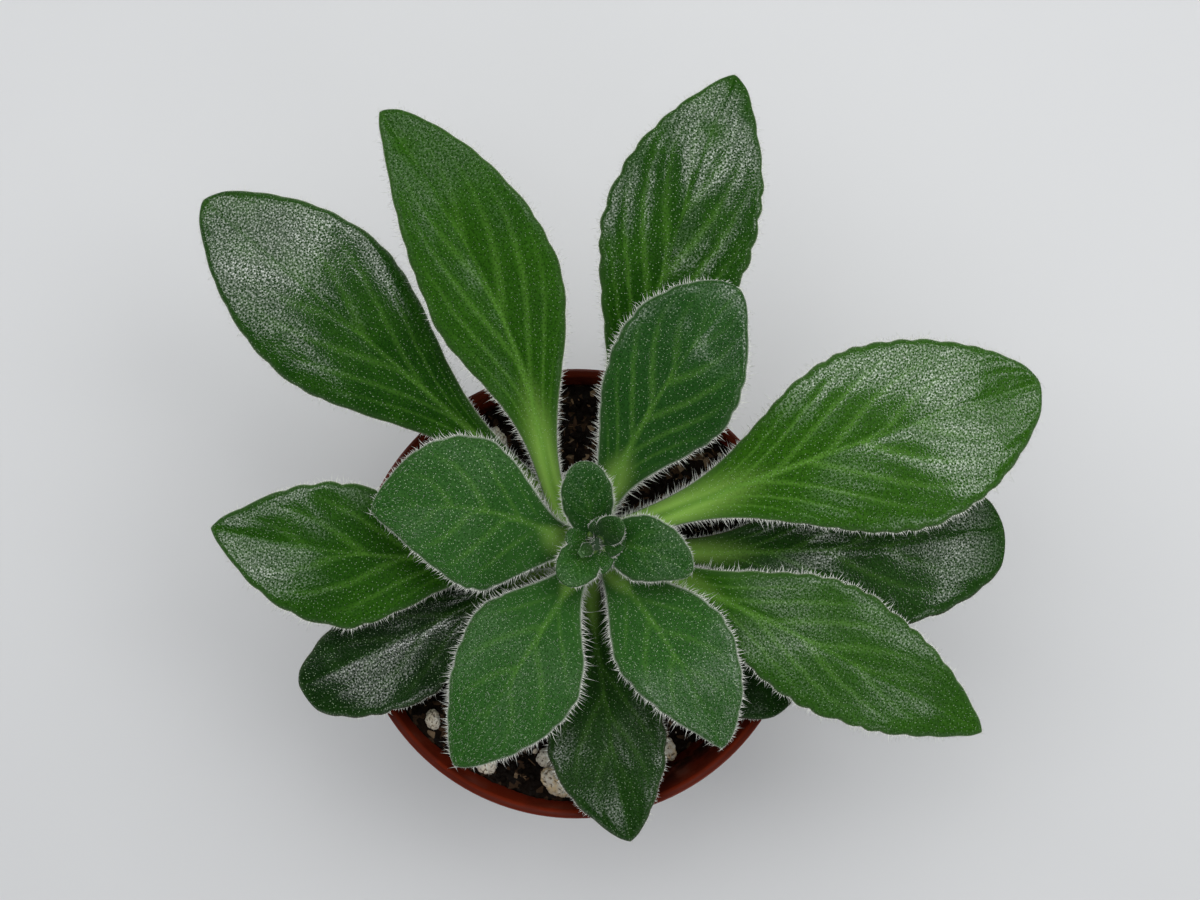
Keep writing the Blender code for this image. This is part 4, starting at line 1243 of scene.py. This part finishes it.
def make_soil_bits(settings):
    """Bark, fibres and crumbs on the soil."""
    dice = np.random.default_rng(BIT_SEED)
    taken = [(STEM_CENTRE, STEM_RADIUS + STEM_GAP)]
    taken += [(place, max(radii[:2]) + BIT_GAP) for _, place, radii, *_ in GRAINS]
    for name, finish, slot, count, sizes, block, tilt, colour, spread in SOIL_BITS:
        piece = scattered(name, bit_pattern(block), count, sizes, tilt, dice, taken)
        finish_piece(piece, bit_material(finish, colour or shade(settings.colour, CLOD_SHADE), spread))
    # Fibres lie on the soil in shallow bends
    count = FIBRE_COUNT
    radius = wall_inside(SOIL_LEVEL) * 0.93 * np.sqrt(dice.uniform(0.02, 1, count))
    places = on_circle(radius, dice.uniform(0, 360, count))
    heights = np.array([rough_soil(x, y) for x, y in places])
    roots = np.column_stack([places, heights + FIBRE_LIFT])
    directions = np.column_stack([dice.normal(0, 1, (count, 2)), dice.normal(0.12, 0.12, (count, 1))])
    bends = np.column_stack([dice.normal(0, 0.35, (count, 2)), np.full(count, -0.12)])
    lengths, radii = dice.uniform(*FIBRE_LENGTHS, count), dice.uniform(*FIBRE_RADII, count)
    piece = planted("peat_fibres", hair_pattern(True), roots, directions, lengths, radii, bends)
    finish_piece(piece, bit_material("finish_fibres", FIBRE_COLOUR, 0.5))


def make_perlite(settings):
    """Foamed grains with craters and a rough crust."""
    material = perlite_material(tuple(settings.perlite_colour))
    for name, level, radii, turn, cream in GRAINS:
        deselect_all()
        bpy.ops.mesh.primitive_ico_sphere_add(subdivisions=5, radius=1.0)
        grain = named(bpy.context.object, name + "_grain")
        points = mesh_points(grain)
        centre = Vector((*level, soil_height(*level) + radii[2] * (1 - 2 * GRAIN_SINK)))
        cos_turn, sin_turn = math.cos(math.radians(turn)), math.sin(math.radians(turn))
        pits = np.zeros(len(points))
        for index, point in enumerate(points):
            away = Vector(point).normalized()
            lump = 1 + GRAIN_ROUGHNESS * noise.noise(away * GRAIN_BUMPS + Vector((turn, 0.0, 0.0)))
            crust = noise.noise(away * CRUST_BUMPS + Vector((0.0, turn, 0.0)))
            fine = noise.noise(away * LUMP_BUMPS + Vector((0.0, 0.0, turn)))
            grit = noise.noise(away * GRIT_BUMPS + Vector((turn, turn, 0.0)))
            crater = max(0.0, -crust - 0.26) * 1.6 + max(0.0, -grit - 0.25) * 0.5
            pits[index] = min(1.0, crater * 3.5)
            lump += 0.10 * crust + 0.06 * fine + 0.02 * grit - 0.25 * crater
            x, y, z = (away[axis] * radii[axis] * lump for axis in range(3))
            points[index] = (centre.x + x * cos_turn - y * sin_turn, centre.y + x * sin_turn + y * cos_turn,
                             centre.z + z)
        set_mesh_points(grain, points)
        note_points(grain, "grain_pits", pits, np.full(len(pits), cream), pits)
        grain.data.shade_smooth()
        finish_piece(grain, material, name)


# Stem
STEM_RINGS = 40
STEM_SIDES = 56
# Shares of its radius and heights over its top, where the stem closes
STEM_CAP = ((0.93, 0.0004), (0.78, 0.0007), (0.55, 0.0008), (0.25, 0.0008))
STEM_SWELLS = ((0.004, 0.00035), (0.0012, 0.0001))       # size and rise of its bumps
STEM_SEED = 31
STEM_HAIRS = 2600
STEM_HAIR_LENGTH = 0.0019
STEM_HAIR_START = 0.002       # lowest ones, above the soil
STEM_HAIR_SINK = 0.0002
TUFT_LIFT = 0.0005


def make_stem(settings, hairs, hair_finish):
    """The short stem, with a ring of scars where older leaves stood, and its hairs."""
    rings = [(STEM_RADIUS * 0.4, STEM_BOTTOM)]
    rings += [(STEM_RADIUS * 0.99, height) for height in np.linspace(STEM_BOTTOM, STEM_TOP, STEM_RINGS)]
    rings += [(STEM_RADIUS * share, STEM_TOP + rise) for share, rise in STEM_CAP]
    stem = drawn_rings("stem_body", rings, STEM_SIDES)
    points = mesh_points(stem)
    for point in points:
        out = math.hypot(point[0], point[1])
        if point[2] < STEM_TOP and out > NEARLY_NONE:
            swell = sum(noise.noise(Vector(point) / size) * rise for size, rise in STEM_SWELLS)
            point[:2] *= (out + swell) / out
        point[0] += STEM_CENTRE[0]
        point[1] += STEM_CENTRE[1]
    set_mesh_points(stem, points)
    stem.data.shade_smooth()
    material = stem_material(tuple(settings.stalk_colour), tuple(settings.young_dark))
    finish_piece(stem, material, "stem")
    dice = np.random.default_rng(STEM_SEED)
    azimuth = dice.uniform(0, 360, STEM_HAIRS)
    heights = dice.uniform(SOIL_LEVEL + STEM_HAIR_START, STEM_TOP, STEM_HAIRS)
    roots = np.column_stack([on_circle(STEM_RADIUS - STEM_HAIR_SINK, azimuth, STEM_CENTRE), heights])
    outward = np.column_stack([on_circle(1.0, azimuth), np.zeros(STEM_HAIRS)])
    directions = outward + dice.normal(0, 0.3, (STEM_HAIRS, 3))
    # A tuft on the stem's top, between the buds
    azimuth = dice.uniform(0, 360, TUFT_COUNT)
    level = on_circle(TUFT_RADIUS * np.sqrt(dice.uniform(0, 1, TUFT_COUNT)), azimuth, STEM_CENTRE)
    roots = np.concatenate([roots, np.column_stack([level, np.full(TUFT_COUNT, STEM_TOP + TUFT_LIFT)])])
    upward = np.column_stack([on_circle(0.8, azimuth), np.ones(TUFT_COUNT)])
    directions = np.concatenate([directions, upward + dice.normal(0, 0.4, (TUFT_COUNT, 3))])
    count = STEM_HAIRS + TUFT_COUNT
    lengths = STEM_HAIR_LENGTH * spread(dice, count, least=0.3)
    radii = hairs.radius * dice.uniform(*HAIR_GIRTHS, count)
    piece = planted("stem_hairs", hair_pattern(True), roots, directions, lengths, radii,
                    dice.normal(0, 0.16, (count, 3)))
    finish_piece(piece, hair_finish)


# Stage
FLOOR_SIDES = 96
# Radius and height: a level floor that sweeps up into a low wall all round
FLOOR_RINGS = [(0.02, 0.0), (1.6, 0.0), (2.0, 0.03), (2.3, 0.12), (2.5, 0.28), (2.6, 0.5), (2.65, 1.2)]
BOX_DISTANCE = 1.2
# Name, azimuth, tilt from straight above, size and share of the power
SOFT_BOXES = [
    ("box_east", 8, 33, (0.50, 0.50), 1.3),
    ("box_northeast", 50, 30, (0.60, 0.62), 1.4),
    ("box_north", 100, 29, (0.55, 0.62), 1.5),
    ("box_west", 156, 28, (0.60, 0.74), 1.8),
    ("box_south", 298, 40, (0.46, 0.46), 0.55),
    ("box_low_east", 25, 57, (0.40, 0.36), 0.5),
    ("box_overhead", 222, 10, (0.28, 0.12), 0.14),
]
SURROUNDINGS = (0.93, 0.96, 1.0, 1.0)
NEAREST_SEEN = 0.01


def soft_light(name, azimuth, tilt, size, power):
    """A soft box that looks at the plant."""
    turn, lean = math.radians(azimuth), math.radians(tilt)
    place = Vector((math.cos(turn) * math.sin(lean), math.sin(turn) * math.sin(lean), math.cos(lean)))
    place *= BOX_DISTANCE
    light = bpy.data.lights.new(name, "AREA")
    light.shape = "RECTANGLE"
    light.size, light.size_y = size
    light.energy = power
    lamp = bpy.data.objects.new(name, light)
    bpy.context.scene.collection.objects.link(lamp)
    lamp.location = place + Vector((0, 0, SOIL_LEVEL))
    lamp.rotation_euler = place.to_track_quat("Z", "Y").to_euler()


def make_stage(settings):
    floor = drawn_rings("floor", FLOOR_RINGS, FLOOR_SIDES, is_open=True)
    floor.data.shade_smooth()
    floor.data.materials.append(floor_material(tuple(settings.floor_colour)))
    for name, azimuth, tilt, size, share in SOFT_BOXES:
        soft_light(name, azimuth, tilt, size, settings.power * share)
    world = bpy.data.worlds.new("studio")
    bpy.context.scene.world = world
    world.use_nodes = True
    background = world.node_tree.nodes["Background"]
    background.inputs["Color"].default_value = SURROUNDINGS
    background.inputs["Strength"].default_value = settings.fill
    world.cycles_visibility.glossy = False
    camera = bpy.data.objects.new("camera", bpy.data.cameras.new("camera"))
    bpy.context.scene.collection.objects.link(camera)
    camera.data.lens = LENS
    camera.data.sensor_width = SENSOR
    camera.data.clip_start = NEAREST_SEEN
    camera.location = CAMERA_PLACE
    camera.rotation_euler = (math.radians(CAMERA_TILT), 0.0, 0.0)
    bpy.context.scene.camera = camera
    bpy.context.scene.view_settings.view_transform = "Standard"


# Settings
def colour_property(name, description, default):
    return bpy.props.FloatVectorProperty(name=name, description=description, subtype="COLOR", size=3,
                                         min=0.0, max=1.0, default=default)


class PRIMULINA_PG_pot(bpy.types.PropertyGroup):
    colour: colour_property("Plastic", "Colour of the pot", (0.088, 0.0100, 0.0032))


class PRIMULINA_PG_soil(bpy.types.PropertyGroup):
    colour: colour_property("Peat", "Colour of the damp peat", (0.0050, 0.0029, 0.0018))
    perlite_colour: colour_property("Perlite", "Colour of the perlite grains", (0.70, 0.66, 0.56))


class PRIMULINA_PG_leaves(bpy.types.PropertyGroup):
    old_dark: colour_property("Old, dark", "Darkest green of an old leaf", (0.0020, 0.015, 0.0010))
    old_light: colour_property("Old, light", "Lightest green of an old leaf", (0.016, 0.062, 0.006))
    mature_dark: colour_property("Mature, dark", "Darkest green of a mature leaf", (0.004, 0.034, 0.0008))
    mature_light: colour_property("Mature, light", "Lightest green of a mature leaf", (0.030, 0.112, 0.004))
    young_dark: colour_property("Young, dark", "Darkest green of a young leaf", (0.009, 0.050, 0.006))
    young_light: colour_property("Young, light", "Lightest green of a young leaf", (0.028, 0.100, 0.016))
    vein_colour: colour_property("Veins", "Colour of the midrib and the side veins", (0.10, 0.245, 0.03))
    stalk_colour: colour_property("Stalks", "Colour of the stalks and the stem", (0.34, 0.60, 0.11))
    underside_colour: colour_property("Underside", "Colour of the leaves from below", (0.13, 0.25, 0.10))


class PRIMULINA_PG_hairs(bpy.types.PropertyGroup):
    colour: colour_property("Colour", "Colour of the hairs", (0.88, 0.90, 0.82))
    radius: bpy.props.FloatProperty(name="Thickness", description="Radius of a hair at its root",
                                    default=0.000055, min=0.00001, subtype="DISTANCE", precision=6)
    spacing: bpy.props.FloatProperty(name="Spacing", description="Distance between two hairs on a margin",
                                     default=0.00034, min=0.0001, subtype="DISTANCE", precision=6)
    density: bpy.props.FloatProperty(name="Density", default=0.8, min=0.0,
                                     description="Short hairs on a square millimetre of blade")


class PRIMULINA_PG_stage(bpy.types.PropertyGroup):
    floor_colour: colour_property("Floor", "Colour of the floor", (0.665, 0.67, 0.675))
    power: bpy.props.FloatProperty(name="Light", description="Power of a full soft box", default=1.85,
                                   min=0.0, unit="POWER")
    fill: bpy.props.FloatProperty(name="Fill", description="Strength of the light from all round",
                                  default=0.38, min=0.0)


def leaf_colours(leaves):
    """The darkest and lightest green of each age of leaf, and the width and colour of the pale line on its
    margin, a painted highlight.
    """
    return {
        "leaf_old": (tuple(leaves.old_dark), tuple(leaves.old_light)),
        "leaf_mature": (tuple(leaves.mature_dark), tuple(leaves.mature_light)),
        "leaf_young": (tuple(leaves.young_dark), tuple(leaves.young_light)),
        "vein": tuple(leaves.vein_colour),
        "stalk": tuple(leaves.stalk_colour),
        "underside": tuple(leaves.underside_colour),
        # Pale lines on the margins, painted highlights: width and colour
        "margin_leaf_old": (MARGIN_LINE, (0.085, 0.095, 0.05)),
        "margin_leaf_mature": (MARGIN_LINE, (0.18, 0.27, 0.12)),
        "margin_leaf_young": (YOUNG_LINE, (0.34, 0.42, 0.30)),
    }


# Operators
class PRIMULINA_OT_pot(bpy.types.Operator):
    """Make the nursery pot"""
    bl_idname = "primulina.pot"
    bl_label = "Pot"
    bl_options = {"REGISTER", "UNDO"}

    def execute(self, context):
        make_pot(context.scene.primulina_pot)
        return {"FINISHED"}


class PRIMULINA_OT_soil(bpy.types.Operator):
    """Make the bed of soil with its bark, fibres and crumbs"""
    bl_idname = "primulina.soil"
    bl_label = "Soil"
    bl_options = {"REGISTER", "UNDO"}

    def execute(self, context):
        make_soil(context.scene.primulina_soil)
        make_soil_bits(context.scene.primulina_soil)
        return {"FINISHED"}


class PRIMULINA_OT_perlite(bpy.types.Operator):
    """Make the grains of perlite"""
    bl_idname = "primulina.perlite"
    bl_label = "Perlite"
    bl_options = {"REGISTER", "UNDO"}

    def execute(self, context):
        make_perlite(context.scene.primulina_soil)
        return {"FINISHED"}


class PRIMULINA_OT_stem(bpy.types.Operator):
    """Make the stem and its hairs"""
    bl_idname = "primulina.stem"
    bl_label = "Stem"
    bl_options = {"REGISTER", "UNDO"}

    def execute(self, context):
        scene = context.scene
        make_stem(scene.primulina_leaves, scene.primulina_hairs, shared_hair_material(scene.primulina_hairs))
        return {"FINISHED"}


class PRIMULINA_OT_leaves(bpy.types.Operator):
    """Make the leaves with their veins"""
    bl_idname = "primulina.leaves"
    bl_label = "Leaves"
    bl_options = {"REGISTER", "UNDO"}

    def execute(self, context):
        colours = leaf_colours(context.scene.primulina_leaves)
        for leaf in LEAVES:
            make_leaf(leaf, colours, leaf.name)
        for leaf in BUDS:
            make_leaf(leaf, colours)
        return {"FINISHED"}


class PRIMULINA_OT_hairs(bpy.types.Operator):
    """Plant the hairs of every leaf"""
    bl_idname = "primulina.hairs"
    bl_label = "Leaf hairs"
    bl_options = {"REGISTER", "UNDO"}

    def execute(self, context):
        hairs = context.scene.primulina_hairs
        patterns = hair_pattern(True), hair_pattern(False)
        for index, leaf in enumerate(LEAVES + BUDS):
            make_hairs(leaf, index, patterns, hairs, shared_hair_material(hairs))
        return {"FINISHED"}


class PRIMULINA_OT_stage(bpy.types.Operator):
    """Make the floor, the soft light and the camera"""
    bl_idname = "primulina.stage"
    bl_label = "Stage"
    bl_options = {"REGISTER", "UNDO"}

    def execute(self, context):
        make_stage(context.scene.primulina_stage)
        return {"FINISHED"}


def shared_hair_material(hairs):
    return bpy.data.materials.get("finish_hairs") or hair_material(tuple(hairs.colour))


class PRIMULINA_PT_sidebar(bpy.types.Panel):
    """Sizes and colours, and a button for each group of pieces"""
    bl_idname = "PRIMULINA_PT_sidebar"
    bl_label = "Potted primulina"
    bl_space_type = "VIEW_3D"
    bl_region_type = "UI"
    bl_category = "Primulina"

    def draw(self, context):
        for label, group, operators in PANEL_ROWS:
            box = self.layout.box()
            box.label(text=label)
            settings = getattr(context.scene, group)
            for name in settings.__annotations__:
                box.prop(settings, name)
            for operator in operators:
                box.operator(operator.bl_idname)


PANEL_ROWS = [
    ("Stage", "primulina_stage", [PRIMULINA_OT_stage]),
    ("Pot", "primulina_pot", [PRIMULINA_OT_pot]),
    ("Soil", "primulina_soil", [PRIMULINA_OT_soil, PRIMULINA_OT_perlite]),
    ("Leaves", "primulina_leaves", [PRIMULINA_OT_stem, PRIMULINA_OT_leaves]),
    ("Hairs", "primulina_hairs", [PRIMULINA_OT_hairs]),
]
GROUPS = {
    "primulina_pot": PRIMULINA_PG_pot,
    "primulina_soil": PRIMULINA_PG_soil,
    "primulina_leaves": PRIMULINA_PG_leaves,
    "primulina_hairs": PRIMULINA_PG_hairs,
    "primulina_stage": PRIMULINA_PG_stage,
}
OPERATORS = [PRIMULINA_OT_stage, PRIMULINA_OT_pot, PRIMULINA_OT_soil, PRIMULINA_OT_perlite,
             PRIMULINA_OT_stem, PRIMULINA_OT_leaves, PRIMULINA_OT_hairs]
CLASSES = [*GROUPS.values(), *OPERATORS, PRIMULINA_PT_sidebar]


def register():
    for item in CLASSES:
        bpy.utils.register_class(item)
    for name, group in GROUPS.items():
        setattr(bpy.types.Scene, name, bpy.props.PointerProperty(type=group))


def unregister():
    for name in GROUPS:
        delattr(bpy.types.Scene, name)
    for item in reversed(CLASSES):
        bpy.utils.unregister_class(item)


def main():
    register()
    bpy.ops.primulina.stage()
    bpy.ops.primulina.pot()
    bpy.ops.primulina.soil()
    bpy.ops.primulina.perlite()
    bpy.ops.primulina.stem()
    bpy.ops.primulina.leaves()
    bpy.ops.primulina.hairs()


if __name__ == "__main__":
    main()
